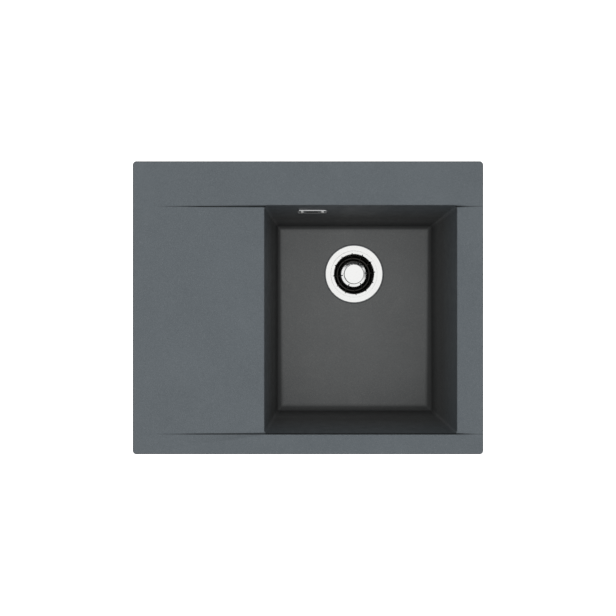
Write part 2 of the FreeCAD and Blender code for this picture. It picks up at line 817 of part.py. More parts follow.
def clip_claw(name, x, y, parked):
    """A pressed claw: a strap with a drawn collar for the screw, and a toothed toe."""
    body = new_body(f"clip_claw_{name}")
    place(body, x, y, angle=str(parked))
    half, heel = "claw_half", "claw_half - 0.05"
    strap = sketch_on(body, "XY_Plane", z="claw_low")
    toe_end = [("claw_reach", f"-{half}"), ("claw_reach", half)]
    add_outline(strap, [(f"-{half}", f"-{half}", heel), *toe_end, (f"-{half}", half, heel)])
    pad(body, strap, "claw_sheet")
    collar = sketch_on(body, "XY_Plane", z="claw_low")
    add_circle(collar, "0", "0", "collar_radius")
    pad(body, collar, "claw_sheet + collar_height")
    toe = sketch_on(body, "YZ_Plane", z="claw_reach")
    teeth = 4
    comb = [(f"-{half}", "claw_low"), (half, "claw_low")]
    for i in range(teeth):
        comb.append((f"{half} * {1 - 2 * i / teeth}", "-grip_open - tooth_height"))
        comb.append((f"{half} * {1 - (2 * i + 1) / teeth}", "-grip_open"))
    comb.append((f"-{half}", "-grip_open - tooth_height"))
    add_outline(toe, comb)
    pad(body, toe, "claw_sheet", reverse=True)
    bore = sketch_on(body, "XY_Plane", z="claw_low")
    add_circle(bore, "0", "0", "screw_radius + 2 * screw_fit")
    pocket(body, bore, "claw_sheet + collar_height", reverse=True)
    return body


# ---------------------------------------------------------------- overflow


def at_wall(name, x="0"):
    """A body in the overflow's own frame: Y runs out through the back wall, and Z up along it."""
    body = new_body(name)
    place(body, f"overflow_side + {x}", "wall_y", "overflow_z", axis=(1, 0, 0), angle="-bowl_draft")
    return body


def wall_outline(body, depth, half_width, half_tall, radius):
    """A sketch of a rounded rectangle in the plane of the wall, at a depth behind its inner face."""
    made = sketch_on(body, "XZ_Plane", z=f"-({depth})")
    add_outline(made, rectangle("0", "0", half_width, half_tall, radius))
    return made


def screw_holes(body, depth, radius, length):
    """The overflow's two screw holes, cut from a depth towards the back."""
    holes = sketch_on(body, "XZ_Plane", z=f"-({depth})")
    for side in (-1, 1):
        add_circle(holes, f"{side} * overflow_screw_side", "0", radius)
    pocket(body, holes, length)


def overflow_plate():
    """The chromed cover: a shallow pressed tray with an inlet across its middle."""
    body = at_wall("overflow_plate")
    outside = wall_outline(body, "-front_seal", "plate_width / 2", "plate_tall / 2", "plate_corner")
    pad(body, outside, "plate_proud")
    face = -number("front_seal + plate_proud")

    def on_face(edge):
        return all(abs(v.Y - face) < 1e-4 for v in edge.Vertexes)

    round_edges(body, on_face, "plate_round")
    half_width, half_tall = "plate_width / 2 - plate_sheet", "plate_tall / 2 - plate_sheet"
    inside = wall_outline(body, "-front_seal", half_width, half_tall, "plate_corner - plate_sheet")
    pocket(body, inside, "plate_proud - plate_sheet", reverse=True)
    inlet = wall_outline(body, "0", "inlet_width / 2", "inlet_tall / 2", "inlet_tall / 2 - 0.1")
    pocket(body, inlet, "2 * (front_seal + plate_proud)", reverse=True)
    screw_holes(body, "-front_seal - plate_proud", "overflow_screw_radius + 0.2", "plate_proud")
    return body


def wall_seal(name, depth, thick, half_width, half_tall, radius):
    """A flat rubber ring round the slot, between the wall and what seats on it."""
    body = at_wall(name)
    sketch = wall_outline(body, depth, half_width, half_tall, radius)
    add_outline(sketch, rectangle("0", "0", "slot_width / 2", "slot_tall / 2", "slot_tall / 2 - 0.1"))
    pad(body, sketch, thick, reverse=True)
    return body


def overflow_box():
    """The housing behind the wall: a box open to the slot, with screw posts and a hose socket."""
    body = at_wall("overflow_box")
    outside = wall_outline(body, "box_face", "box_width / 2", "box_tall / 2", "box_corner")
    pad(body, outside, "box_deep", reverse=True)
    socket = sketch_on(body, "XY_Plane", x="0", y="socket_axis", z="socket_mouth")
    add_circle(socket, "0", "0", "socket_radius")
    pad(body, socket, "socket_length + box_wall")
    inner_width, inner_tall = "box_width / 2 - box_wall", "box_tall / 2 - box_wall"
    inside = wall_outline(body, "box_face", inner_width, inner_tall, "box_corner - box_wall")
    pocket(body, inside, "box_deep - box_wall")
    way = sketch_on(body, "XY_Plane", x="0", y="socket_axis", z="socket_mouth")
    add_circle(way, "0", "0", "socket_bore")
    pocket(body, way, "socket_length + box_wall * 2", reverse=True)
    posts = sketch_on(body, "XZ_Plane", z="-box_face")
    for side in (-1, 1):
        add_circle(posts, f"{side} * overflow_screw_side", "0", "overflow_screw_radius + box_wall")
    pad(body, posts, "box_deep - box_wall / 2", reverse=True)
    screw_holes(body, "box_face", "overflow_screw_radius + screw_fit", "overflow_screw_bite + 2")
    return body


def overflow_screw(name, side):
    """A pan-headed screw that draws the cover and the housing together through the slot."""
    body = at_wall(name, f"{side} * overflow_screw_side")
    profile = sketch_on(body, "XY_Plane")
    face = "-front_seal - plate_proud"
    tip = "box_face + overflow_screw_bite"
    outline = [
        ("0", f"{face} - overflow_head_height"),
        ("overflow_screw_head - 1", f"{face} - overflow_head_height"),
        ("overflow_screw_head", f"{face} - overflow_head_height / 2"),
        ("overflow_screw_head", face),
        ("overflow_screw_radius", face),
        ("overflow_screw_radius", f"{tip} - 1"),
        ("overflow_screw_radius - 1", tip),
        ("0", tip),
    ]
    add_outline(profile, outline)
    revolve(body, profile)
    return body


# ---------------------------------------------------------------- hose


def hose_route():
    """The hose's centre line: down along the back wall, one bend, and level to the waste."""
    draft, entry = math.radians(number("bowl_draft")), number("hose_entry")
    down = Vector(0, -math.sin(draft), -math.cos(draft))
    turn = Vector(number("overflow_side"), number("turn_y"), number("branch_z"))
    inward = Vector(number("drain_x"), number("drain_y"), turn.z) - turn
    reach = inward.Length - number("branch_end") + entry
    inward.normalize()
    top = Vector(turn.x, number("mouth_y"), number("mouth_z")) - down * entry
    radius = number("hose_bend")
    trim = radius * math.tan(down.getAngle(inward) / 2)
    centre = turn + (inward - down).normalize() * (radius / math.cos(down.getAngle(inward) / 2))
    first, last = turn - down * trim, turn + inward * trim
    middle = centre + (turn - centre).normalize() * radius
    end = turn + inward * reach
    runs = [Part.LineSegment(top, first), Part.Arc(first, middle, last), Part.LineSegment(last, end)]
    return [run.toShape() for run in runs], down.cross(inward).normalize()


def circle_along(edges, distance, radius, across):
    """A circle square to the route, at a distance along it, with its X axis held steady."""
    for edge in edges:
        if distance <= edge.Length + 1e-9:
            break
        distance -= edge.Length
    at = edge.getParameterByLength(min(distance, edge.Length))
    ring = Part.Circle(edge.valueAt(at), edge.tangentAt(at), radius)
    ring.XAxis = across
    return Part.Wire(ring.toShape())


def overflow_hose():
    """The corrugated hose: a ruled loft over its ribs, plain cuffs at both ends, and a smooth bore."""
    edges, across = hose_route()
    total = sum(edge.Length for edge in edges)
    crest, valley, bore = number("hose_crest"), number("hose_valley"), number("hose_bore")
    cuff = 2 * crest
    count = int((total - 2 * cuff) / number("rib_pitch"))
    pitch = (total - 2 * cuff) / count
    stations = [(0.0, valley)]
    for rib in range(count):
        start = cuff + rib * pitch
        for share, radius in ((0.1, valley), (0.3, crest), (0.65, crest), (0.85, valley)):
            stations.append((start + share * pitch, radius))
    stations.append((total, valley))
    rings = [circle_along(edges, at, radius, across) for at, radius in stations]
    outside = Part.makeLoft(rings, True, True)
    inside = Part.Wire(edges).makePipe(Part.Face(circle_along(edges, 0, bore, across)))
    made = doc.addObject("Part::Feature", "overflow_hose")
    made.Label = "overflow_hose"
    made.Shape = outside.cut(inside)
    area = math.pi * (valley**2 - bore**2)
    print(f"hose: {total:.1f} mm long, bend {number('hose_bend'):.0f} mm, {count} ribs,",
          f"{made.Shape.Volume:.0f} mm3 against {area * total:.0f} mm3 without ribs")
    return made


def at_mouth(name, lower):
    """A body whose origin is the middle of a socket's mouth, with Z pointing into the socket."""
    body = new_body(name)
    if not lower:
        place(body, "overflow_side", "mouth_y", "mouth_z", axis=(1, 0, 0), angle="-bowl_draft")
        return body
    x, y = "drain_x + branch_end * cos(branch_angle)", "drain_y + branch_end * sin(branch_angle)"
    turn = f"rotation(vector(0; 0; 1); {formula('branch_angle')}) * rotation(vector(0; 1; 0); -90)"
    point = f"vector({formula(x)}; {formula(y)}; {formula('branch_z')})"
    body.setExpression("Placement", f"placement({point}; {turn})")
    return body


def hose_washer(name, lower):
    """The rubber washer that the nut presses on the socket's mouth and the hose's cuff."""
    body = at_mouth(name, lower)
    profile = sketch_on(body, "XZ_Plane")
    inner, outer = "hose_valley + hose_fit / 2", "socket_radius - hose_fit"
    low = "-washer_thick"
    cone = [(f"{outer} - 1", low), (outer, f"{low} + 1")]
    add_outline(profile, [(inner, low), *cone, (outer, "0"), (inner, "0")])
    revolve(body, profile)
    return body


def hose_nut(name, lower):
    """The union nut: it runs over the socket, its lip holds the washer, and ribs round it give a grip."""
    body = at_mouth(name, lower)
    profile = sketch_on(body, "XZ_Plane")
    low, seat = "-washer_thick - nut_lip", "-washer_thick"
    outline = [
        ("hose_valley + 2 * hose_fit", low),
        ("nut_radius - 1", low),
        ("nut_radius", f"{low} + 1"),
        ("nut_radius", "nut_overlap"),
        ("nut_bore", "nut_overlap"),
        ("nut_bore", seat),
        ("hose_valley + 2 * hose_fit", seat),
    ]
    add_outline(profile, outline)
    revolve(body, profile)
    rib = sketch_on(body, "XY_Plane", z=f"{low} + 1")
    add_circle(rib, "nut_radius - 0.3", "0", "nut_grip")
    ribs = pad(body, rib, "nut_overlap + washer_thick + nut_lip - 1")
    repeat_round(body, ribs, 12)
    return body


# ---------------------------------------------------------------- waste


def strainer_flange():
    """The steel cup in the sink's floor: a flange, a seat for the basket, and a sump for the screw."""
    sheet_below = "cup_floor - cup_sheet"
    outline = [
        ("0", "sump_floor - cup_sheet"),
        ("sump_radius + cup_sheet", "sump_floor - cup_sheet"),
        ("sump_radius + cup_sheet", sheet_below),
        ("cup_radius + cup_sheet - cup_bevel", sheet_below),
        ("cup_radius + cup_sheet", f"{sheet_below} + cup_bevel"),
        ("cup_radius + cup_sheet", "seat_level - flange_sheet"),
        ("seat_radius + flange_sheet", "seat_level - flange_sheet"),
        ("seat_radius + flange_sheet", "flange_low"),
        ("flange_radius", "flange_low"),
        ("flange_radius", "flange_top - flange_sheet / 2"),
        ("flange_radius - flange_sheet / 2", "flange_top"),
        ("seat_radius", "flange_top"),
        ("seat_radius", "seat_level"),
        ("cup_radius", "seat_level"),
        ("cup_radius", "cup_floor + cup_bevel"),
        ("cup_radius - cup_bevel", "cup_floor"),
        ("sump_radius", "cup_floor"),
        ("sump_radius", "sump_floor"),
        ("0", "sump_floor"),
    ]
    body = turned("strainer_flange", outline)
    hole = sketch_on(body, "XY_Plane", z="cup_floor + 1")
    add_circle(hole, "outlet_ring", "0", "outlet_hole")
    repeat_round(body, pocket(body, hole, "cup_sheet + 2"), 6)
    centre = sketch_on(body, "XY_Plane", z="sump_floor + 1")
    add_circle(centre, "0", "0", "waste_screw_radius + 0.3")
    pocket(body, centre, "cup_sheet + 2")
    return body


def flat_ring(name, inner, outer, low, high):
    """A flat ring about the drain's axis."""
    return turned(name, [(inner, low), (outer, low), (outer, high), (inner, high)])


def waste_body():
    """The chamber under the sink: its flange, a branch for the overflow, four arms, and the outlet's tail."""
    body = new_body("waste_body")
    place(body, "drain_x", "drain_y", angle="branch_angle")
    outside = sketch_on(body, "XZ_Plane")
    wall = "body_bore + body_wall"
    profile = [
        ("0", "outlet_end"),
        ("outlet_radius", "outlet_end"),
        ("outlet_radius", "outlet_top - body_wall"),
        (wall, "chamber_low - body_wall"),
        (wall, "body_top - body_flange"),
        ("body_flange_radius", "body_top - body_flange"),
        ("body_flange_radius", "body_top"),
        ("0", "body_top"),
    ]
    add_outline(outside, profile)
    revolve(body, outside)
    branch = sketch_on(body, "YZ_Plane", z="body_bore / 2")
    add_circle(branch, "0", "branch_z", "socket_radius")
    pad(body, branch, "branch_end - body_bore / 2")
    inside = sketch_on(body, "XZ_Plane")
    chamber = [
        ("0", "outlet_end"),
        ("outlet_bore", "outlet_end"),
        ("outlet_bore", "outlet_top"),
        ("body_bore", "chamber_low"),
        ("body_bore", "body_top"),
        ("0", "body_top"),
    ]
    add_outline(inside, chamber)
    revolve(body, inside, cut=True)
    way = sketch_on(body, "YZ_Plane", z="branch_end")
    add_circle(way, "0", "branch_z", "socket_bore")
    pocket(body, way, "branch_end - body_bore / 2")
    arm = sketch_on(body, "XY_Plane", z="chamber_low")
    half_arm = "body_bore / 2 + body_wall / 4"
    add_outline(arm, rectangle(half_arm, "0", half_arm, "arm_wall / 2"))
    arms = pad(body, arm, "hub_height")
    return body, arms


def finish_hub(body, arms):
    """The hub in the middle of the arms, its hole for the screw, and the pocket below that holds the nut."""
    repeat_round(body, arms, 4)
    hub = sketch_on(body, "XY_Plane", z="chamber_low")
    add_circle(hub, "0", "0", "hub_radius")
    pad(body, hub, "hub_height")
    hole = sketch_on(body, "XY_Plane", z="chamber_low")
    add_circle(hole, "0", "0", "waste_screw_radius + 0.3")
    pocket(body, hole, "hub_height", reverse=True)
    seat = sketch_on(body, "XY_Plane", z="nut_roof")
    add_outline(seat, hexagon("waste_nut_half + 0.1"))
    pocket(body, seat, "nut_roof - chamber_low")
    return body


def waste_screw():
    """The large-headed screw that clamps the waste to the sink, with a deep socket for the basket's peg."""
    tip = "sump_floor - waste_screw_length"
    outline = [
        ("0", tip),
        ("waste_screw_radius - 1", tip),
        ("waste_screw_radius", f"{tip} + 1"),
        ("waste_screw_radius", "sump_floor"),
        ("waste_screw_head", "sump_floor"),
        ("waste_screw_head", "sump_floor + waste_head_height - 1"),
        ("waste_screw_head - 1", "sump_floor + waste_head_height"),
        ("peg_radius + peg_fit", "sump_floor + waste_head_height"),
        ("peg_radius + peg_fit", "sump_floor + waste_head_height - peg_socket_depth"),
        ("0", "sump_floor + waste_head_height - peg_socket_depth"),
    ]
    return turned("waste_screw", outline)


def waste_nut():
    """The brass nut in the hub's pocket."""
    body = new_body("waste_nut")
    place(body, "drain_x", "drain_y", angle="branch_angle")
    sketch = sketch_on(body, "XY_Plane", z="nut_roof - waste_nut_height")
    add_outline(sketch, hexagon("waste_nut_half"))
    add_circle(sketch, "0", "0", "waste_screw_radius + screw_fit")
    pad(body, sketch, "waste_nut_height")
    return body


# ---------------------------------------------------------------- basket


def pressed(profile, thick):
    """The closed outline of a pressed sheet: its upper profile, and the same corners below."""
    corners = [Vector(number(x), number(y), 0) for x, y in profile]
    runs = [(after - before).normalize() for before, after in zip(corners, corners[1:])]
    underside = []
    for (x, y), before, after in zip(profile, [runs[0], *runs], [*runs, runs[-1]]):
        share = 1 + before.dot(after)
        aside, down = -(before.y + after.y) / share, (before.x + after.x) / share
        underside.append((f"{x} + ({aside:.6f}) * {thick}", f"{y} + ({down:.6f}) * {thick}"))
    return [*profile, *reversed(underside)]


def strainer_basket():
    """The pressed basket: a flat rim, a deep trough, a raised hub, and twelve slots."""
    profile = [
        ("basket_radius", "basket_top"),
        ("basket_rim", "basket_top"),
        ("basket_foot", "basket_top - basket_wall"),
        ("trough_outside", "basket_floor"),
        ("trough_inside", "basket_floor"),
        ("hub_foot", "basket_top - basket_wall"),
        ("shoulder_radius", "basket_top - shoulder_drop"),
        ("crown_radius", "basket_top - crown_drop"),
        ("hub_top", "hub_level"),
        ("spindle_radius + spindle_fit", "hub_level"),
    ]
    body = turned("strainer_basket", pressed(profile, "basket_sheet"))
    for phase, inner in ((0, "hub_top + 1"), (30, "hub_foot - 0.4")):
        turn = f"slot_turn + {phase}"
        slot = sketch_on(body, "XY_Plane", z="basket_top + 1", axis=(0, 0, 1), angle=turn)
        middle, half = f"({inner} + slot_outside) / 2", f"(slot_outside - {inner}) / 2"
        add_outline(slot, rectangle(middle, "0", half, "slot_half"))
        repeat_round(body, pocket(body, slot, "basket_depth + 3"), 6)
    return body


def basket_spindle():
    """The turned spindle: its head hangs in the hub, its collar holds the plug, its peg runs in the screw."""
    low = "cup_floor - clip_ring_height - 0.1"
    outline = [
        ("0", f"{low} - peg_length"),
        ("peg_radius - 1", f"{low} - peg_length"),
        ("peg_radius", f"{low} - peg_length + 1"),
        ("peg_radius", low),
        ("spindle_radius", low),
        ("spindle_radius", "plug_top"),
        ("collar_radius_spindle", "plug_top"),
        ("collar_radius_spindle", "plug_top + collar_height_spindle"),
        ("spindle_radius", "plug_top + collar_height_spindle"),
        ("spindle_radius", "hub_level + 0.1"),
        ("spindle_head", "hub_level + 0.1"),
        ("spindle_head", "hub_level + 0.1 + spindle_head_height"),
        ("0", "hub_level + 0.1 + spindle_head_height"),
    ]
    return turned("basket_spindle", outline)


def basket_seal():
    """The rubber plug that closes the outlet holes."""
    outline = [
        ("spindle_radius", "cup_floor"),
        ("plug_radius", "cup_floor"),
        ("plug_radius", "cup_floor + plug_height / 3"),
        ("plug_radius - 1.5", "plug_top"),
        ("spindle_radius", "plug_top"),
    ]
    return turned("basket_seal", outline)


def basket_knob():
    """The flat turning knob on its neck, hollow over the spindle's head."""
    disc = "hub_level + knob_lift"
    cavity = "spindle_head + knob_gap"
    roof = "hub_level + spindle_head_height + 2 * knob_gap"
    outline = [
        (cavity, "hub_level"),
        ("knob_neck", "hub_level"),
        ("knob_neck", f"{disc} - 1.5"),
        ("knob_neck + 1.5", disc),
        ("knob_radius - 0.6", disc),
        ("knob_radius", f"{disc} + 0.6"),
        ("knob_radius", f"{disc} + knob_height - knob_crown"),
        ("knob_radius - knob_crown", f"{disc} + knob_height"),
        ("0", f"{disc} + knob_height"),
        ("0", roof),
        (cavity, roof),
    ]
    return turned("basket_knob", outline)


# ---------------------------------------------------------------- everything


def build():
    """Makes every sub-part and returns those that are written out."""
    parts = [sink_moulding(), rim_seal(), clip_inserts()]
    for name, (x, y, parked, _) in CLIPS.items():
        parts.append(clip_screw(name, x, y))
        parts.append(clip_claw(name, x, y, parked))
    parts.append(overflow_plate())
    half_width, half_tall = "plate_width / 2 - 0.3", "plate_tall / 2 - 0.3"
    front = ("overflow_seal_front", "-front_seal", "front_seal")
    parts.append(wall_seal(*front, half_width, half_tall, "plate_corner"))
    half_width, half_tall = "box_width / 2", "box_tall / 2"
    rear = ("overflow_seal_rear", "wall_outside", "rear_seal")
    parts.append(wall_seal(*rear, half_width, half_tall, "box_corner"))
    parts.append(overflow_box())
    parts.append(overflow_screw("overflow_screw_left", -1))
    parts.append(overflow_screw("overflow_screw_right", 1))
    parts.append(overflow_hose())
    for side, lower in (("top", False), ("bottom", True)):
        parts.append(hose_washer(f"hose_washer_{side}", lower))
        parts.append(hose_nut(f"hose_nut_{side}", lower))
    parts.append(strainer_flange())
    ring = ("drain_hole + 4", "flange_radius - 3")
    parts.append(flat_ring("flange_gasket", *ring, "recess_level", "flange_low"))
    ring = ("drain_hole + 0.5", "body_flange_radius")
    parts.append(flat_ring("body_gasket", *ring, "body_top", "floor_under"))
    parts.append(finish_hub(*waste_body()))
    parts.append(waste_screw())
    parts.append(waste_nut())
    parts.append(strainer_basket())
    parts.append(basket_spindle())
    parts.append(basket_seal())
    low, high = "cup_floor - clip_ring_height", "cup_floor"
    parts.append(flat_ring("spindle_clip", "spindle_radius", "clip_ring", low, high))
    parts.append(basket_knob())
    return parts


def write(parts):
    """Checks every object of the document and writes each sub-part to its own file."""
    doc.recompute()
    for item in doc.Objects:
        if {"Invalid", "Error"} & set(item.State):
            raise ValueError(f"{item.Label} failed: {item.State}")
    for part in parts:
        if part.Shape.isNull() or not part.Shape.isValid():
            raise ValueError(f"{part.Label} has no valid shape")
    os.makedirs("parts", exist_ok=True)
    for part in parts:
        part.Shape.exportStep(f"parts/{part.Label}.step")
        box = part.Shape.BoundBox
        print(f"{part.Label:24} {len(part.Shape.Solids)} solids {part.Shape.Volume:10.0f} mm3",
              f"z {box.ZMin:7.1f} to {box.ZMax:6.1f}")


write(build())
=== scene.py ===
"""Looks of an inset kitchen sink with drainboard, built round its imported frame.

Each sub-assembly is a class that holds its sizes, builds its pieces and dresses them. Lengths are in metres, in the
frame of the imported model: X to the right, Y to the back, and Z up from the worktop's top face.
"""

import json
import logging
import math
from collections.abc import Iterable, Sequence
from dataclasses import dataclass
from enum import Enum

import bmesh
import bpy
from mathutils import Matrix, Vector

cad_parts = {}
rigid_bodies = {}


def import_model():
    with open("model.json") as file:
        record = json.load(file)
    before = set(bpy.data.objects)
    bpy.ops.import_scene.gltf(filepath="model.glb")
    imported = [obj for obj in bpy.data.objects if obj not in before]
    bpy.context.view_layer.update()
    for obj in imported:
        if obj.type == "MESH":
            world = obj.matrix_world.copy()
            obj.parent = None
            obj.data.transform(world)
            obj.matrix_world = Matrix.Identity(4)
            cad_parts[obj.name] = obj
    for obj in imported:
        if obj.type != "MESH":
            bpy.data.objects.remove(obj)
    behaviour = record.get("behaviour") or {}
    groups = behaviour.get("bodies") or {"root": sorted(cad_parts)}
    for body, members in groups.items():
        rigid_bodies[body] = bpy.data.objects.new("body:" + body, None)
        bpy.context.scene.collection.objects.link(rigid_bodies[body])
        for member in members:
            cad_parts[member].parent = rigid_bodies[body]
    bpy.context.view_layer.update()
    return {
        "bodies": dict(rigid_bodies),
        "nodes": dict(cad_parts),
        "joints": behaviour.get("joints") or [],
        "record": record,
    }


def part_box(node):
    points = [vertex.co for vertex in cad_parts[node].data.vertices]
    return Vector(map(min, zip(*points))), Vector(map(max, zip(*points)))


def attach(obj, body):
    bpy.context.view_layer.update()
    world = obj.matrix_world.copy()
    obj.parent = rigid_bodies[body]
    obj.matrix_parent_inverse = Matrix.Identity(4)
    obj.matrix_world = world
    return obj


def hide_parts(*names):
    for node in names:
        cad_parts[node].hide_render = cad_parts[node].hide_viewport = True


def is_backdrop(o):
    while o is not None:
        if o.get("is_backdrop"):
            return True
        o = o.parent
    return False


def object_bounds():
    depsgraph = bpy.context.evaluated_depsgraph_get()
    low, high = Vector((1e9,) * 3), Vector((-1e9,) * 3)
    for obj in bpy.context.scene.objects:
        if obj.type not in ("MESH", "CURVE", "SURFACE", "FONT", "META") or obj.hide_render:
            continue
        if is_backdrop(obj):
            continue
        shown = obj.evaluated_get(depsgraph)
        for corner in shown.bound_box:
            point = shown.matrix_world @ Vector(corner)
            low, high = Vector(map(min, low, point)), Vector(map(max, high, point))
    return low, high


log = logging.getLogger("sink")

Socket = bpy.types.NodeSocket
Feed = float | int | bool | str | Sequence[float] | Socket | bpy.types.Material
Colour = tuple[float, float, float, float]
Corner = tuple[float, float]

DRAIN = Vector((0.092, 0.320, 0.0))
WALL_DRAFT = math.radians(5.0)


class Slot(Enum):
    """The record's material slots."""

    COMPOSITE = "sink_composite"
    POLISHED_STEEL = "polished_steel"
    KNOB = "knob_metal"
    CHROME = "overflow_chrome"
    PLAIN_STEEL = "screw_steel"
    ZINC = "clip_zinc"
    BRASS = "brass"
    FOAM = "foam_seal"
    RUBBER = "black_rubber"
    WHITE_PLASTIC = "white_plastic"
    GREY_PLASTIC = "grey_plastic"
    HOSE_PLASTIC = "hose_plastic"


# ---------------------------------------------------------------- node trees


class Bench:
    """A node tree under construction."""

    def __init__(self, tree: bpy.types.NodeTree) -> None:
        """Starts work on a tree.

        Args:
            tree: The tree that the nodes go into.
        """
        self.tree = tree
        self.count = 0

    def add(self, kind: str, feeds: dict[str | int, Feed] | None = None, **settings: object) -> bpy.types.Node:
        """Adds a node.

        Args:
            kind: The node's type.
            feeds: What goes into its inputs, by the input's name or number.
            **settings: Properties of the node itself.

        Returns:
            The new node.
        """
        node = self.tree.nodes.new(kind)
        node.location = (190 * (self.count % 12), -260 * (self.count // 12))
        self.count += 1
        for name, value in settings.items():
            setattr(node, name, value)
        for name, value in (feeds or {}).items():
            self.feed(node.inputs[name], value)
        return node

    def feed(self, socket: Socket, value: Feed) -> None:
        """Links a socket to an input, or sets the input to a value.

        Args:
            socket: The input.
            value: What goes into it.
        """
        if isinstance(value, bpy.types.NodeSocket):
            self.tree.links.new(value, socket)
        else:
            socket.default_value = value

    def maths(self, operation: str, *values: Feed, clamp: bool = False) -> Socket:
        """The result of a sum on numbers."""
        node = self.add("ShaderNodeMath", dict(enumerate(values)), operation=operation, use_clamp=clamp)
        return node.outputs[0]

    def vector(self, operation: str, *values: Feed) -> Socket:
        """The vector that comes out of a sum on vectors."""
        return self.add("ShaderNodeVectorMath", dict(enumerate(values)), operation=operation).outputs["Vector"]

    def spread(self, value: Feed, low: float, high: float, to_low: float = 0.0, to_high: float = 1.0) -> Socket:
        """A value moved from one range to another and held inside it.

        Args:
            value: The value.
            low: The start of its range.
            high: The end of its range.
            to_low: What the start becomes.
            to_high: What the end becomes.

        Returns:
            The moved value.
        """
        feeds = {"Value": value, "From Min": low, "From Max": high, "To Min": to_low, "To Max": to_high}
        return self.add("ShaderNodeMapRange", feeds, clamp=True).outputs["Result"]

    def mixed(self, share: Feed, first: Feed, second: Feed) -> Socket:
        """A colour between two others, by a share from 0 to 1."""
        return self.add("ShaderNodeMix", {0: share, 6: first, 7: second}, data_type="RGBA").outputs[2]

    def joined(self, x: Feed, y: Feed, z: Feed) -> Socket:
        """A vector from its three numbers."""
        return self.add("ShaderNodeCombineXYZ", {"X": x, "Y": y, "Z": z}).outputs[0]

    def times(self, *values: Feed) -> Socket:
        """The product of two numbers."""
        return self.maths("MULTIPLY", *values)

    def plus(self, *values: Feed) -> Socket:
        """The sum of two numbers."""
        return self.maths("ADD", *values)

    def minus(self, *values: Feed) -> Socket:
        """The first number less the second."""
        return self.maths("SUBTRACT", *values)

    def scaled(self, colour: Socket, share: Socket) -> Socket:
        """A colour made darker to a share of it."""
        return self.vector("MULTIPLY", colour, self.joined(share, share, share))

    def radius(self, vector: Socket) -> Socket:
        """How far a vector reaches from the Z axis."""
        level = self.vector("MULTIPLY", vector, (1.0, 1.0, 0.0))
        return self.add("ShaderNodeVectorMath", {0: level}, operation="LENGTH").outputs["Value"]

    def parted(self, vector: Socket) -> tuple[Socket, Socket, Socket]:
        """The three numbers of a vector."""
        outputs = self.add("ShaderNodeSeparateXYZ", {0: vector}).outputs
        return outputs[0], outputs[1], outputs[2]


class Effect:
    """A shader effect that several finishes use, kept as one node group."""

    def __init__(self, name: str, takes: dict[str, float], gives: Iterable[str]) -> None:
        """Makes an empty group that takes a place on the piece and some numbers.

        Args:
            name: The group's name.
            takes: Its numbers and their usual values.
            gives: The names of the masks and heights that it puts out.
        """
        self.group = bpy.data.node_groups.new(name, "ShaderNodeTree")
        self.group.interface.new_socket("Place", in_out="INPUT", socket_type="NodeSocketVector")
        for label, usual in takes.items():
            socket = self.group.interface.new_socket(label, in_out="INPUT", socket_type="NodeSocketFloat")
            socket.default_value = usual
        for label in gives:
            self.group.interface.new_socket(label, in_out="OUTPUT", socket_type="NodeSocketFloat")
        self.bench = Bench(self.group)
        self.entry = self.bench.add("NodeGroupInput")
        self.exit = self.bench.add("NodeGroupOutput")

    def taken(self, label: str) -> Socket:
        """What comes in under a name."""
        return self.entry.outputs[label]

    def give(self, label: str, value: Socket) -> None:
        """Sends a value out under a name."""
        self.bench.feed(self.exit.inputs[label], value)

    def use(self, bench: Bench, place: Socket, **numbers: float) -> dict[str, Socket]:
        """Places the effect in a material.

        Args:
            bench: The material's tree.
            place: The place on the piece.
            **numbers: Values of the effect's own numbers, with _ for a space in their names.

        Returns:
            The effect's masks and heights, by name.
        """
        node = bench.add("ShaderNodeGroup", node_tree=self.group)
        bench.feed(node.inputs["Place"], place)
        for label, value in numbers.items():
            node.inputs[label.replace("_", " ").capitalize()].default_value = value
        return {socket.name: socket for socket in node.outputs}


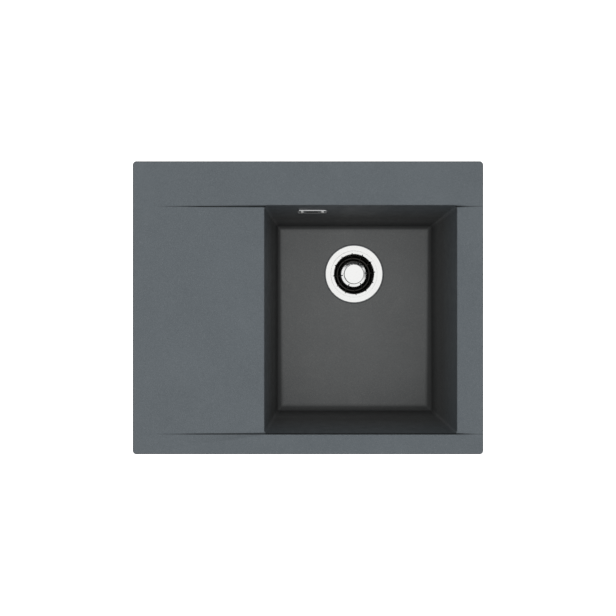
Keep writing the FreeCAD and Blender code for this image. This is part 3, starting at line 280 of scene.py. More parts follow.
class Effects:
    """The shader effects that the finishes share."""

    def __init__(self) -> None:
        """Builds every effect once."""
        self.flecks = self.make_flecks()
        self.clouds = self.make_clouds()
        self.turning = self.make_turning()
        self.moulding = self.make_moulding()
        self.handling = self.make_handling()

    @staticmethod
    def make_flecks() -> Effect:
        """Small separate grains scattered through a mineral filling.

        Returns:
            The effect.
        """
        effect = Effect("grain flecks", {"Grain": 0.0008, "Share": 0.2}, ("Mask",))
        bench = effect.bench
        density = bench.maths("DIVIDE", 1.0, effect.taken("Grain"))
        cells = bench.add("ShaderNodeTexVoronoi", {"Vector": effect.taken("Place"), "Scale": density})
        chance = bench.add("ShaderNodeSeparateColor", {0: cells.outputs["Color"]}).outputs[0]
        rare = bench.maths("GREATER_THAN", effect.taken("Share"), chance)
        round_edge = bench.spread(cells.outputs["Distance"], 0.34, 0.52, 1.0, 0.0)
        effect.give("Mask", bench.times(rare, round_edge))
        return effect

    @staticmethod
    def make_clouds() -> Effect:
        """Soft, wide changes of tone.

        Returns:
            The effect.
        """
        effect = Effect("soft clouds", {"Size": 0.05, "Depth": 2.0}, ("Mask",))
        bench = effect.bench
        density = bench.maths("DIVIDE", 1.0, effect.taken("Size"))
        feeds = {"Vector": effect.taken("Place"), "Scale": density, "Detail": effect.taken("Depth")}
        noise = bench.add("ShaderNodeTexNoise", feeds)
        effect.give("Mask", bench.spread(noise.outputs[0], 0.3, 0.7))
        return effect

    @staticmethod
    def make_turning() -> Effect:
        """Fine rings round the Z axis, as a lathe or a polishing wheel leaves them.

        Returns:
            The effect.
        """
        effect = Effect("turning marks", {"Pitch": 0.0003, "Wander": 0.6}, ("Height", "Mask"))
        bench = effect.bench
        x, y, z = bench.parted(effect.taken("Place"))
        radius = bench.maths("SQRT", bench.plus(bench.maths("POWER", x, 2.0), bench.maths("POWER", y, 2.0)))
        safe = bench.maths("MAXIMUM", radius, 1e-5)
        across = bench.maths("DIVIDE", bench.plus(radius, z), effect.taken("Pitch"))
        turn_x = bench.times(bench.maths("DIVIDE", x, safe), effect.taken("Wander"))
        turn_y = bench.times(bench.maths("DIVIDE", y, safe), effect.taken("Wander"))
        marks = bench.add("ShaderNodeTexNoise", {"Vector": bench.joined(across, turn_x, turn_y), "Scale": 1.0})
        effect.give("Height", marks.outputs[0])
        effect.give("Mask", bench.spread(marks.outputs[0], 0.35, 0.65))
        return effect

    @staticmethod
    def make_moulding() -> Effect:
        """The faint orange peel and fine sparkle of a moulded face.

        Returns:
            The effect.
        """
        effect = Effect("moulded skin", {"Size": 0.0012}, ("Height", "Mask"))
        bench = effect.bench
        density = bench.maths("DIVIDE", 1.0, effect.taken("Size"))
        feeds = {"Vector": effect.taken("Place"), "Scale": density, "Detail": 3.0, "Roughness": 0.55}
        peel = bench.add("ShaderNodeTexNoise", feeds)
        wide = bench.add("ShaderNodeTexNoise", {"Vector": effect.taken("Place"), "Scale": 60.0, "Detail": 1.0})
        effect.give("Height", peel.outputs[0])
        effect.give("Mask", bench.spread(wide.outputs[0], 0.35, 0.65))
        return effect

    @staticmethod
    def make_handling() -> Effect:
        """Smears and faint water marks left by use.

        Returns:
            The effect.
        """
        effect = Effect("handling marks", {"Size": 0.03, "Share": 0.4}, ("Mask",))
        bench = effect.bench
        density = bench.maths("DIVIDE", 1.0, effect.taken("Size"))
        feeds = {"Vector": effect.taken("Place"), "Scale": density, "Detail": 5.0, "Distortion": 1.6}
        smear = bench.add("ShaderNodeTexNoise", feeds)
        start = bench.minus(0.8, bench.times(effect.taken("Share"), 0.5))
        above = bench.minus(smear.outputs[0], start)
        effect.give("Mask", bench.maths("MULTIPLY", above, 5.0, clamp=True))
        return effect


# ---------------------------------------------------------------- finishes


@dataclass(frozen=True)
class Finish:
    """A surface finish: its slot in the record and its plain colour."""

    slot: Slot
    colour: Colour
    roughness: float = 0.4

    def start(self, **constants: float) -> tuple[bpy.types.Material, Bench, bpy.types.Node, Socket]:
        """Starts the finish's material.

        Args:
            **constants: Values for the shader's own sockets, with _ for a space in their names.

        Returns:
            The material, its bench, its shader and the place on the piece.
        """
        material = bpy.data.materials.new(self.slot.value)
        material.use_nodes = True
        bench = Bench(material.node_tree)
        shader = material.node_tree.nodes["Principled BSDF"]
        shader.inputs["Base Color"].default_value = self.colour
        shader.inputs["Roughness"].default_value = self.roughness
        for label, value in constants.items():
            shader.inputs[label.replace("_", " ")].default_value = value
        place = bench.add("ShaderNodeTexCoord").outputs["Object"]
        material.diffuse_color = self.colour
        return material, bench, shader, place

    @staticmethod
    def shade(colour: Colour, factor: float) -> Colour:
        """A colour made lighter or darker by a factor."""
        return (colour[0] * factor, colour[1] * factor, colour[2] * factor, 1.0)

    @staticmethod
    def relief(bench: Bench, shader: bpy.types.Node, height: Socket, strength: float, distance: float) -> None:
        """Turns a height into the shader's surface relief."""
        bump = bench.add("ShaderNodeBump", {"Strength": strength, "Distance": distance, "Height": height})
        bench.feed(shader.inputs["Normal"], bump.outputs["Normal"])


@dataclass(frozen=True)
class Composite(Finish):
    """Mineral-filled composite: a fine dark and pale grain in a grey binder, smooth in the bowl and dull below."""

    light_fleck: Colour = (0.2, 0.215, 0.225, 1.0)
    dark_fleck: Colour = (0.04, 0.045, 0.05, 1.0)
    back_colour: Colour = (0.1, 0.105, 0.11, 1.0)
    grain: float = 0.0007
    light_share: float = 0.45
    dark_share: float = 0.5
    back_share: float = 0.6
    smear_share: float = 0.05
    back_dullness: float = 0.28
    smear_dullness: float = 0.08
    fleck_height: float = 0.35
    back_height: float = 3.0
    gloss: float = 0.18
    low_bowl_gloss: float = 0.02
    # Painted shade low in the bowl: a darker, less blue tint from the top level down; the gloss falls over the same
    # levels.
    depth_shade_tint: tuple[float, float, float] = (0.98, 0.89, 0.82)
    shade_and_gloss_top: float = -0.012
    shade_and_gloss_full: float = -0.1
    # Painted shade on the bowl's floor: darker away from the given middle, towards the walls.
    floor_levels: Corner = (-0.186, -0.178)
    floor_shade_centre: Corner = (0.075, 0.26)
    floor_shade_reach: Corner = (0.125, 0.155)
    floor_shade_depth: float = 0.12
    floor_shade_least: float = 0.6
    # Painted shade in the cove where the walls meet the floor.
    cove_foot: Corner = (-0.1906, -0.188)
    cove_head: Corner = (-0.18, -0.13)
    cove_shade_depth: float = 0.5
    # Painted shadow: a near-black ring in the gap round the drain's flange, below the flange's level.
    gap_shade: Colour = (0.004, 0.004, 0.004, 1.0)
    gap_radii: Corner = (0.0562, 0.0592)
    gap_softness: float = 0.0006
    gap_level: float = -0.1912
    # Painted shade along the rim's rounded outer edge.
    rim_half: Corner = (0.305, 0.255)
    rim_middle: float = 0.2525
    edge_shade_band: Corner = (-0.00168, -0.00096)
    edge_shade: float = 0.25
    # Painted shade lines at the foot of the drainboard's two steps.
    line_places: Corner = (0.0328, 0.4289)
    step_shade_tones: Corner = (0.3, 0.05)
    line_halves: Corner = (0.00077, 0.0011)
    line_start: Corner = (-0.265, -0.19)
    line_end: Corner = (0.262, 0.296)
    line_last: float = 0.3

    def material(self, effects: Effects) -> bpy.types.Material:
        """Makes the material.

        Args:
            effects: The shared effects.

        Returns:
            The material.
        """
        material, bench, shader, place = self.start()
        pale = effects.flecks.use(bench, place, grain=self.grain, share=0.22)["Mask"]
        shifted = bench.vector("ADD", place, (0.37, 0.11, 0.53))
        dark = effects.flecks.use(bench, shifted, grain=1.3 * self.grain, share=0.2)["Mask"]
        cloud = effects.clouds.use(bench, place, size=0.09, depth=3.0)["Mask"]
        skin = effects.moulding.use(bench, place, size=0.0016)
        smear = effects.handling.use(bench, place, size=0.06, share=0.5)["Mask"]
        binder = bench.mixed(cloud, self.shade(self.colour, 0.96), self.shade(self.colour, 1.04))
        tone = bench.mixed(bench.times(pale, self.light_share), binder, self.light_fleck)
        tone = bench.mixed(bench.times(dark, self.dark_share), tone, self.dark_fleck)
        tone = bench.mixed(bench.times(smear, self.smear_share), tone, self.light_fleck)
        # Painted shade in the bowl, along the outer edge and at the foot of the steps.
        tone = self.painted_edge_and_step_shade(bench, place, self.painted_bowl_shade(bench, place, tone))
        back = bench.add("ShaderNodeAttribute", attribute_name="rough_back").outputs["Fac"]
        rear = bench.mixed(bench.times(pale, self.back_share), self.back_colour, self.light_fleck)
        bench.feed(shader.inputs["Base Color"], bench.mixed(back, tone, rear))
        smooth = bench.spread(skin["Mask"], 0.0, 1.0, self.roughness - 0.04, self.roughness + 0.05)
        dull = bench.plus(smooth, bench.times(smear, self.smear_dullness))
        bench.feed(shader.inputs["Roughness"], bench.plus(dull, bench.times(back, self.back_dullness)))
        shine = bench.spread(bench.parted(place)[2], self.shade_and_gloss_full, self.shade_and_gloss_top, self.low_bowl_gloss, self.gloss)
        bench.feed(shader.inputs["Specular IOR Level"], shine)
        rise = bench.plus(skin["Height"], bench.times(bench.minus(pale, dark), self.fleck_height))
        rise = bench.times(rise, bench.plus(1.0, bench.times(back, self.back_height)))
        self.relief(bench, shader, rise, 0.35, 0.00006)
        return material

    def painted_bowl_shade(self, bench: Bench, place: Socket, tone: Socket) -> Socket:
        """The tone with painted shade low in the bowl, towards the floor's edges, in the cove and in the drain's gap.

        Args:
            bench: The material's tree.
            place: The place on the moulding.
            tone: The clean tone.

        Returns:
            The used tone.
        """
        x, y, height = bench.parted(place)
        # Painted shade: the tone turns darker and less blue lower in the bowl.
        depth_shade = bench.spread(height, self.shade_and_gloss_full, self.shade_and_gloss_top, 1.0, 0.0)
        depth_shaded = bench.mixed(depth_shade, tone, bench.vector("MULTIPLY", tone, self.depth_shade_tint))
        # Painted shade: the floor grows darker away from its middle, towards the walls.
        aside = bench.maths("DIVIDE", bench.minus(x, self.floor_shade_centre[0]), self.floor_shade_reach[0])
        ahead = bench.maths("DIVIDE", bench.minus(y, self.floor_shade_centre[1]), self.floor_shade_reach[1])
        squares = bench.plus(bench.maths("POWER", aside, 2.0), bench.maths("POWER", ahead, 2.0))
        floor_shade = bench.maths("MAXIMUM", bench.minus(1.0, bench.times(squares, self.floor_shade_depth)), self.floor_shade_least)
        on_floor = bench.spread(height, *self.floor_levels, 1.0, 0.0)
        bowl_shaded = bench.mixed(on_floor, depth_shaded, bench.scaled(depth_shaded, floor_shade))
        # Painted shade in the cove where the walls meet the floor.
        cove_shade = bench.times(bench.spread(height, *self.cove_foot), bench.spread(height, *self.cove_head, 1.0, 0.0))
        bowl_shaded = bench.scaled(bowl_shaded, bench.minus(1.0, bench.times(cove_shade, self.cove_shade_depth)))
        # Painted shadow: a near-black ring in the gap round the drain's flange.
        radius = bench.radius(bench.vector("SUBTRACT", place, tuple(DRAIN)))
        inner, outer = self.gap_radii
        ring = bench.times(
            bench.maths("LESS_THAN", radius, outer), bench.spread(radius, inner, inner + self.gap_softness)
        )
        low = bench.maths("LESS_THAN", height, self.gap_level)
        return bench.mixed(bench.times(ring, low), bowl_shaded, self.gap_shade)

    def painted_edge_and_step_shade(self, bench: Bench, place: Socket, tone: Socket) -> Socket:
        """The tone with painted shade along the outer edge and at the foot of the drainboard's two steps.

        Args:
            bench: The material's tree.
            place: The place on the moulding.
            tone: The tone without them.

        Returns:
            The lined tone.
        """
        x, y, height = bench.parted(place)
        # Painted shade: the tone darkens across a narrow band at the rim's outer edge.
        aside = bench.minus(bench.maths("ABSOLUTE", x), self.rim_half[0])
        ahead = bench.maths("ABSOLUTE", bench.minus(y, self.rim_middle))
        beyond = bench.maths("MAXIMUM", aside, bench.minus(ahead, self.rim_half[1]))
        tone = bench.scaled(tone, bench.spread(beyond, *self.edge_shade_band, 1.0, self.edge_shade))
        # Painted shade lines at the foot of the drainboard's two steps, fading out towards their ends.
        fade = bench.spread(x, *self.line_end, 1.0, self.line_last)
        along = bench.times(bench.spread(x, *self.line_start), fade)
        along = bench.times(along, bench.maths("GREATER_THAN", height, -0.001))
        for middle, darkest in zip(self.line_places, self.step_shade_tones):
            off = bench.maths("ABSOLUTE", bench.minus(y, middle))
            near = bench.times(along, bench.spread(off, *self.line_halves, 1.0, 0.0))
            tone = bench.scaled(tone, bench.minus(1.0, bench.times(near, 1.0 - darkest)))
        return tone


@dataclass(frozen=True)
class TurnedMetal(Finish):
    """Metal turned or polished round an upright axis, with painted shade low in the strainer, where asked."""

    centre: Corner = (DRAIN.x, DRAIN.y)
    pitch: float = 0.0003
    marks: float = 0.12
    # Painted shade: a near-black tone low in the strainer's trough and cup, on faces that look up or inwards.
    trough_shade: Colour = (0.03, 0.028, 0.026, 1.0)
    trough_shade_top: float | None = None
    trough_shade_low: float = 0.0
    trough_shade_inside: float = 0.0
    trough_shade_softness: float = 0.0012

    def material(self, effects: Effects) -> bpy.types.Material:
        """Makes the material.

        Args:
            effects: The shared effects.

        Returns:
            The material.
        """
        material, bench, shader, place = self.start(Metallic=1.0)
        centred = bench.vector("SUBTRACT", place, (*self.centre, 0.0))
        rings = effects.turning.use(bench, centred, pitch=self.pitch)
        smear = effects.handling.use(bench, place, size=0.012, share=0.4)["Mask"]
        tone = bench.mixed(rings["Mask"], self.shade(self.colour, 0.97), self.colour)
        tone = bench.mixed(bench.times(smear, 0.12), tone, self.shade(self.colour, 0.7))
        # Painted shade low in the strainer's trough and cup.
        if self.trough_shade_top is not None:
            ring = bench.spread(bench.radius(centred), self.trough_shade_inside - self.trough_shade_softness, self.trough_shade_inside)
            shade_faces = bench.add("ShaderNodeAttribute", attribute_name="shade_faces").outputs["Fac"]
            ring = bench.times(ring, shade_faces)
            depth = bench.spread(bench.parted(place)[2], self.trough_shade_low, self.trough_shade_top, 1.0, 0.0)
            tone = bench.mixed(bench.times(ring, depth), tone, self.trough_shade)
        bench.feed(shader.inputs["Base Color"], tone)
        dull = bench.spread(rings["Mask"], 0.0, 1.0, self.roughness - 0.03, self.roughness + 0.04)
        bench.feed(shader.inputs["Roughness"], bench.plus(dull, bench.times(smear, 0.12)))
        self.relief(bench, shader, rings["Height"], self.marks, 0.00002)
        return material


@dataclass(frozen=True)
class PlatedMetal(Finish):
    """Plated or plain metal: an even coat with light clouding, specks and handling marks."""

    cloud: Colour = (0.5, 0.5, 0.5, 1.0)
    clouding: float = 0.25
    skin: float = 0.08
    size: float = 0.004

    def material(self, effects: Effects) -> bpy.types.Material:
        """Makes the material.

        Args:
            effects: The shared effects.

        Returns:
            The material.
        """
        material, bench, shader, place = self.start(Metallic=1.0)
        cloud = effects.clouds.use(bench, place, size=self.size, depth=4.0)["Mask"]
        smear = effects.handling.use(bench, place, size=0.015, share=0.35)["Mask"]
        skin = effects.moulding.use(bench, place, size=0.0005)
        bench.feed(
            shader.inputs["Base Color"],
            bench.mixed(bench.times(cloud, self.clouding), self.colour, self.cloud),
        )
        dull = bench.spread(cloud, 0.0, 1.0, self.roughness - 0.03, self.roughness + 0.05)
        bench.feed(shader.inputs["Roughness"], bench.plus(dull, bench.times(smear, 0.1)))
        self.relief(bench, shader, skin["Height"], self.skin, 0.00003)
        return material


@dataclass(frozen=True)
class MouldedPlastic(Finish):
    """Injection-moulded plastic: a fine skin, faint flow clouds and dust, with a thread on the outlet's tail."""

    skin: float = 0.25
    size: float = 0.001
    thread_pitch: float = 0.0
    thread_top: float = 0.0
    thread_radius: float = 0.0

    def material(self, effects: Effects) -> bpy.types.Material:
        """Makes the material.

        Args:
            effects: The shared effects.

        Returns:
            The material.
        """
        material, bench, shader, place = self.start(Specular_IOR_Level=0.45)
        cloud = effects.clouds.use(bench, place, size=0.02, depth=3.0)["Mask"]
        skin = effects.moulding.use(bench, place, size=self.size)
        smear = effects.handling.use(bench, place, size=0.03, share=0.4)["Mask"]
        tone = bench.mixed(cloud, self.shade(self.colour, 0.95), self.colour)
        tone = bench.mixed(bench.times(smear, 0.2), tone, self.shade(self.colour, 0.82))
        bench.feed(shader.inputs["Base Color"], tone)
        dull = bench.spread(skin["Mask"], 0.0, 1.0, self.roughness - 0.05, self.roughness + 0.06)
        bench.feed(shader.inputs["Roughness"], bench.plus(dull, bench.times(smear, 0.12)))
        height = skin["Height"]
        if self.thread_pitch > 0.0:
            height = bench.plus(bench.times(height, 0.06), self.thread(bench, place))
            self.relief(bench, shader, height, 1.0, 0.0007)
        else:
            self.relief(bench, shader, height, self.skin, 0.00005)
        return material

    def thread(self, bench: Bench, place: Socket) -> Socket:
        """A shallow screw thread round the drain's axis, from the tail's foot to its top.

        Args:
            bench: The material's tree.
            place: The place on the piece.

        Returns:
            The thread's height.
        """
        x, y, z = bench.parted(bench.vector("SUBTRACT", place, tuple(DRAIN)))
        turn = bench.maths("DIVIDE", bench.maths("ARCTAN2", y, x), 2 * math.pi)
        wave = bench.maths("FRACT", bench.plus(bench.maths("DIVIDE", z, self.thread_pitch), turn))
        ridge = bench.maths("PINGPONG", bench.times(wave, 2.0), 1.0)
        low = bench.spread(z, self.thread_top - 0.0006, self.thread_top, 1.0, 0.0)
        squares = bench.plus(bench.maths("POWER", x, 2.0), bench.maths("POWER", y, 2.0))
        outside = bench.maths("GREATER_THAN", squares, self.thread_radius**2)
        return bench.times(ridge, bench.times(low, outside))


@dataclass(frozen=True)
class SoftRubber(Finish):
    """Rubber or closed-cell foam: dull, with open cells or a faint bloom."""

    cell: float = 0.0006
    depth: float = 0.4
    bloom: Colour = (0.12, 0.12, 0.12, 1.0)

    def material(self, effects: Effects) -> bpy.types.Material:
        """Makes the material.

        Args:
            effects: The shared effects.

        Returns:
            The material.
        """
        material, bench, shader, place = self.start(Specular_IOR_Level=0.35)
        cells = effects.flecks.use(bench, place, grain=self.cell, share=0.75)["Mask"]
        dust = effects.handling.use(bench, place, size=0.01, share=0.6)["Mask"]
        tone = bench.mixed(bench.times(dust, 0.25), self.colour, self.bloom)
        bench.feed(shader.inputs["Base Color"], tone)
        dull = bench.spread(dust, 0.0, 1.0, self.roughness, min(1.0, self.roughness + 0.15))
        bench.feed(shader.inputs["Roughness"], dull)
        self.relief(bench, shader, cells, self.depth, 0.0001)
        return material


class Palette:
    """Every finish of the object, made into materials once."""

    def __init__(self) -> None:
        """Makes the shared effects and the materials."""
        effects = Effects()
        finishes = (
            Composite(Slot.COMPOSITE, (0.088, 0.1, 0.109, 1.0), 0.55),
            TurnedMetal(
                Slot.POLISHED_STEEL, (0.88, 0.88, 0.87, 1.0), 0.16,
                trough_shade_top=-0.1942, trough_shade_low=-0.197, trough_shade_inside=0.0288,
            ),
            TurnedMetal(Slot.KNOB, (0.9, 0.9, 0.89, 1.0), 0.12, marks=0.06),
            PlatedMetal(Slot.CHROME, (0.88, 0.89, 0.9, 1.0), 0.1, clouding=0.06),
            PlatedMetal(Slot.PLAIN_STEEL, (0.62, 0.62, 0.61, 1.0), 0.28, clouding=0.2),
            PlatedMetal(Slot.ZINC, (0.6, 0.62, 0.63, 1.0), 0.36, cloud=(0.42, 0.44, 0.46, 1.0), clouding=0.6),
            PlatedMetal(Slot.BRASS, (0.78, 0.57, 0.25, 1.0), 0.3, cloud=(0.55, 0.36, 0.14, 1.0), clouding=0.5),
            SoftRubber(Slot.FOAM, (0.035, 0.035, 0.037, 1.0), 0.85, cell=0.0008, depth=0.8),
            SoftRubber(Slot.RUBBER, (0.018, 0.018, 0.019, 1.0), 0.6),
            MouldedPlastic(
                Slot.WHITE_PLASTIC, (0.76, 0.76, 0.73, 1.0), 0.38,
                thread_pitch=0.0025, thread_top=-0.279, thread_radius=0.0235,
            ),
            MouldedPlastic(Slot.GREY_PLASTIC, (0.3, 0.31, 0.32, 1.0), 0.5),
            MouldedPlastic(Slot.HOSE_PLASTIC, (0.72, 0.72, 0.7, 1.0), 0.32, skin=0.15),
        )
        self.materials = {finish.slot: finish.material(effects) for finish in finishes}

    def __getitem__(self, slot: Slot) -> bpy.types.Material:
        """The material of a slot."""
        return self.materials[slot]


# ---------------------------------------------------------------- meshes


class Recipe(Bench):
    """A Geometry Nodes tree with named sizes, which turns a base mesh into a finished piece."""

    def __init__(self, name: str) -> None:
        """Starts the tree.

        Args:
            name: The tree's name.
        """
        tree = bpy.data.node_groups.new(name, "GeometryNodeTree")
        super().__init__(tree)
        tree.interface.new_socket("Geometry", in_out="INPUT", socket_type="NodeSocketGeometry")
        tree.interface.new_socket("Geometry", in_out="OUTPUT", socket_type="NodeSocketGeometry")
        self.entry = self.add("NodeGroupInput")
        self.exit = self.add("NodeGroupOutput")
        self.labels: dict[str, str] = {}

    @property
    def base(self) -> Socket:
        """The mesh that the tree starts from."""
        return self.entry.outputs["Geometry"]

    def size(self, label: str, whole: bool = False) -> Socket:
        """A named size of the tree.

        Args:
            label: Its name.
            whole: Whether it is a whole number.

        Returns:
            The socket that brings it in.
        """
        kind = "NodeSocketInt" if whole else "NodeSocketFloat"
        self.labels[label] = self.tree.interface.new_socket(label, in_out="INPUT", socket_type=kind).identifier
        return self.entry.outputs[label]

    def close(self, geometry: Socket, material: bpy.types.Material) -> None:
        """Ends the tree: instances become real and take the material.

        Args:
            geometry: The finished geometry.
            material: Its material.
        """
        real = self.add("GeometryNodeRealizeInstances", {"Geometry": geometry})
        dressed = self.add("GeometryNodeSetMaterial", {"Geometry": real.outputs[0], "Material": material})
        self.feed(self.exit.inputs["Geometry"], dressed.outputs[0])

    def run(self, name: str, mesh: bpy.types.Mesh, **sizes: float | int) -> bpy.types.Object:
        """Runs the tree on a mesh.

        Args:
            name: The new piece's name.
            mesh: The mesh to start from.
            **sizes: The tree's sizes, by name, with _ for a space.

        Returns:
            A new object with the plain result.
        """
        base = linked(name, mesh)
        modifier = base.modifiers.new("recipe", "NODES")
        modifier.node_group = self.tree
        for label, value in sizes.items():
            modifier[self.labels[label.replace("_", " ").capitalize()]] = value
        return frozen(base)


def linked(name: str, mesh: bpy.types.Mesh) -> bpy.types.Object:
    """Puts a mesh into the scene.

    Args:
        name: The new object's name.
        mesh: Its mesh.

    Returns:
        The new object.
    """
    made = bpy.data.objects.new(name, mesh)
    bpy.context.scene.collection.objects.link(made)
    return made


def frozen(piece: bpy.types.Object) -> bpy.types.Object:
    """Makes a piece's modifiers into a plain mesh.

    Args:
        piece: The piece.

    Returns:
        The same piece.
    """
    bpy.context.view_layer.update()
    graph = bpy.context.evaluated_depsgraph_get()
    result = bpy.data.meshes.new_from_object(piece.evaluated_get(graph), preserve_all_data_layers=True, depsgraph=graph)
    piece.modifiers.clear()
    piece.data = result
    result.name = piece.name
    return piece


def shaded(piece: bpy.types.Object, crease: float = 34.0) -> bpy.types.Object:
    """Shades a piece smooth across its rounded edges, and flat on its wide faces.

    Args:
        piece: The piece.
        crease: The angle of an edge that stays sharp, in degrees.

    Returns:
        The same piece.
    """
    mesh = piece.data
    mesh.shade_smooth()
    mesh.set_sharp_from_angle(angle=math.radians(crease))
    weighted = piece.modifiers.new("wide faces", "WEIGHTED_NORMAL")
    weighted.keep_sharp = True
    weighted.mode = "FACE_AREA_WITH_ANGLE"
    return frozen(piece)


def mesh_of(name: str, shape: bmesh.types.BMesh) -> bpy.types.Mesh:
    """Makes a mesh whose faces point outwards.

    Args:
        name: The mesh's name.
        shape: The finished shape, which is freed.

    Returns:
        The mesh.
    """
    bmesh.ops.recalc_face_normals(shape, faces=shape.faces)
    mesh = bpy.data.meshes.new(name)
    shape.to_mesh(mesh)
    shape.free()
    return mesh


def softened(piece: bpy.types.Object, width: float, steps: int = 2, crease: float = 38.0) -> bpy.types.Object:
    """Rounds the piece's sharp edges.

    Args:
        piece: The piece, whose flat faces are whole.
        width: The rounding's width.
        steps: The facets across it.
        crease: The least angle of a sharp edge, in degrees.

    Returns:
        The same piece.
    """
    bevel = piece.modifiers.new("soft edges", "BEVEL")
    bevel.width = width
    bevel.segments = steps
    bevel.limit_method = "ANGLE"
    bevel.angle_limit = math.radians(crease)
    bevel.use_clamp_overlap = True
    bevel.miter_outer = "MITER_ARC"
    return frozen(piece)


def copy_of(node: bpy.types.Object, name: str, edge: float = 0.0, crease: float = 34.0) -> bpy.types.Object:
    """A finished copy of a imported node: its vertices merged, its round faces smooth and its edges softened.

    Args:
        node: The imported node's object.
        name: The new piece's name.
        edge: How wide the sharp edges are rounded, or 0 to leave them.
        crease: The angle of an edge that stays sharp, in degrees.

    Returns:
        The new piece.
    """
    shape = bmesh.new()
    shape.from_mesh(node.data)
    bmesh.ops.remove_doubles(shape, verts=shape.verts, dist=2e-6)
    if edge > 0.0:
        bmesh.ops.dissolve_limit(
            shape, angle_limit=math.radians(0.4), use_dissolve_boundaries=False, verts=shape.verts, edges=shape.edges
        )
    mesh = bpy.data.meshes.new(name)
    shape.to_mesh(mesh)
    shape.free()
    piece = linked(name, mesh)
    if edge > 0.0:
        softened(piece, edge)
    return shaded(piece, crease)


def turned(name: str, outline: Sequence[Corner], steps: int = 96) -> bpy.types.Mesh:
    """A closed solid turned round the Z axis.

    Args:
        name: The mesh's name.
        outline: Its closed outline as (radius, height) corners.
        steps: The facets round it.

    Returns:
        The mesh.
    """
    shape = bmesh.new()
    rings = []
    for step in range(steps):
        angle = 2 * math.pi * step / steps
        rings.append([shape.verts.new((r * math.cos(angle), r * math.sin(angle), z)) for r, z in outline])
    for step, ring in enumerate(rings):
        ahead = rings[(step + 1) % steps]
        for i in range(len(outline)):
            j = (i + 1) % len(outline)
            if outline[i][0] > 0.0 or outline[j][0] > 0.0:
                shape.faces.new((ring[i], ring[j], ahead[j], ahead[i]))
    bmesh.ops.remove_doubles(shape, verts=shape.verts, dist=1e-7)
    return mesh_of(name, shape)


def rounded(corners: Sequence[tuple[float, ...]], steps: int = 5) -> list[Corner]:
    """An outline whose corners are rounded where they give a radius.

    Args:
        corners: The closed outline's corners, each (x, y) or (x, y, radius).
        steps: The facets round each rounding.

    Returns:
        The outline's points.
    """
    points: list[Corner] = []
    for i, corner in enumerate(corners):
        here = Vector(corner[:2])
        if len(corner) < 3:
            points.append((here.x, here.y))
            continue
        back = (Vector(corners[i - 1][:2]) - here).normalized()
        ahead = (Vector(corners[(i + 1) % len(corners)][:2]) - here).normalized()
        half = back.angle(ahead) / 2
        start, end = here + back * corner[2] / math.tan(half), here + ahead * corner[2] / math.tan(half)
        centre = here + (back + ahead).normalized() * corner[2] / math.sin(half)
        first, last = start - centre, end - centre
        for step in range(steps + 1):
            arm = first.lerp(last, step / steps).normalized() * corner[2]
            points.append((centre.x + arm.x, centre.y + arm.y))
    return points


def marked_for_shade(piece: bpy.types.Object) -> bpy.types.Object:
    """Marks the faces that take the strainer's painted shade: those that look up or towards the drain's axis.

    Args:
        piece: The piece, round the drain's axis.

    Returns:
        The same piece.
    """
    mesh = piece.data
    shade_faces = mesh.attributes.new("shade_faces", "FLOAT", "FACE")
    for face, value in zip(mesh.polygons, shade_faces.data):
        inwards = DRAIN.xy - face.center.xy
        facing = face.normal.xy.dot(inwards.normalized()) if inwards.length > 0.0 else 0.0
        value.value = float(face.normal.z > 0.02 or facing > 0.5)
    return piece


class Workshop:
    """What every sub-assembly needs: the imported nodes, the palette and the way a piece is handed over."""

    def __init__(self, frame: dict, palette: Palette) -> None:
        """Keeps the frame and the palette.

        Args:
            palette: The object's materials.
        """
        self.nodes: dict[str, bpy.types.Object] = frame["nodes"]
        self.palette = palette
        groups = frame["record"]["behaviour"]["bodies"]
        self.body_of = {node: body for body, members in groups.items() for node in members}
        self.slot_of = {part["node"]: Slot(part["material_slot"]) for part in frame["record"]["subparts"]}

    def hand_over(self, piece: bpy.types.Object, node: str) -> None:
        """Dresses a piece that stands for a node, and lets it ride on the node's body.

        Args:
            piece: The finished piece.
            node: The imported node.
        """
        slot = self.slot_of[node]
        piece.data.materials.clear()
        piece.data.materials.append(self.palette[slot])
        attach(piece, self.body_of[node])
        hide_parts(node)
        log.info("%s stands for %s: %d faces, %s", piece.name, node, len(piece.data.polygons), slot.value)

    def refine(self, node: str, name: str, edge: float = 0.0, crease: float = 34.0) -> bpy.types.Object:
        """Hands over a finished copy of a node.

        Args:
            node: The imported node.
            name: The new piece's name.
            edge: How wide its sharp edges are rounded.
            crease: The angle of an edge that stays sharp, in degrees.

        Returns:
            The new piece.
        """
        piece = copy_of(self.nodes[node], name, edge, crease)
        self.hand_over(piece, node)
        return piece


# ---------------------------------------------------------------- the moulding


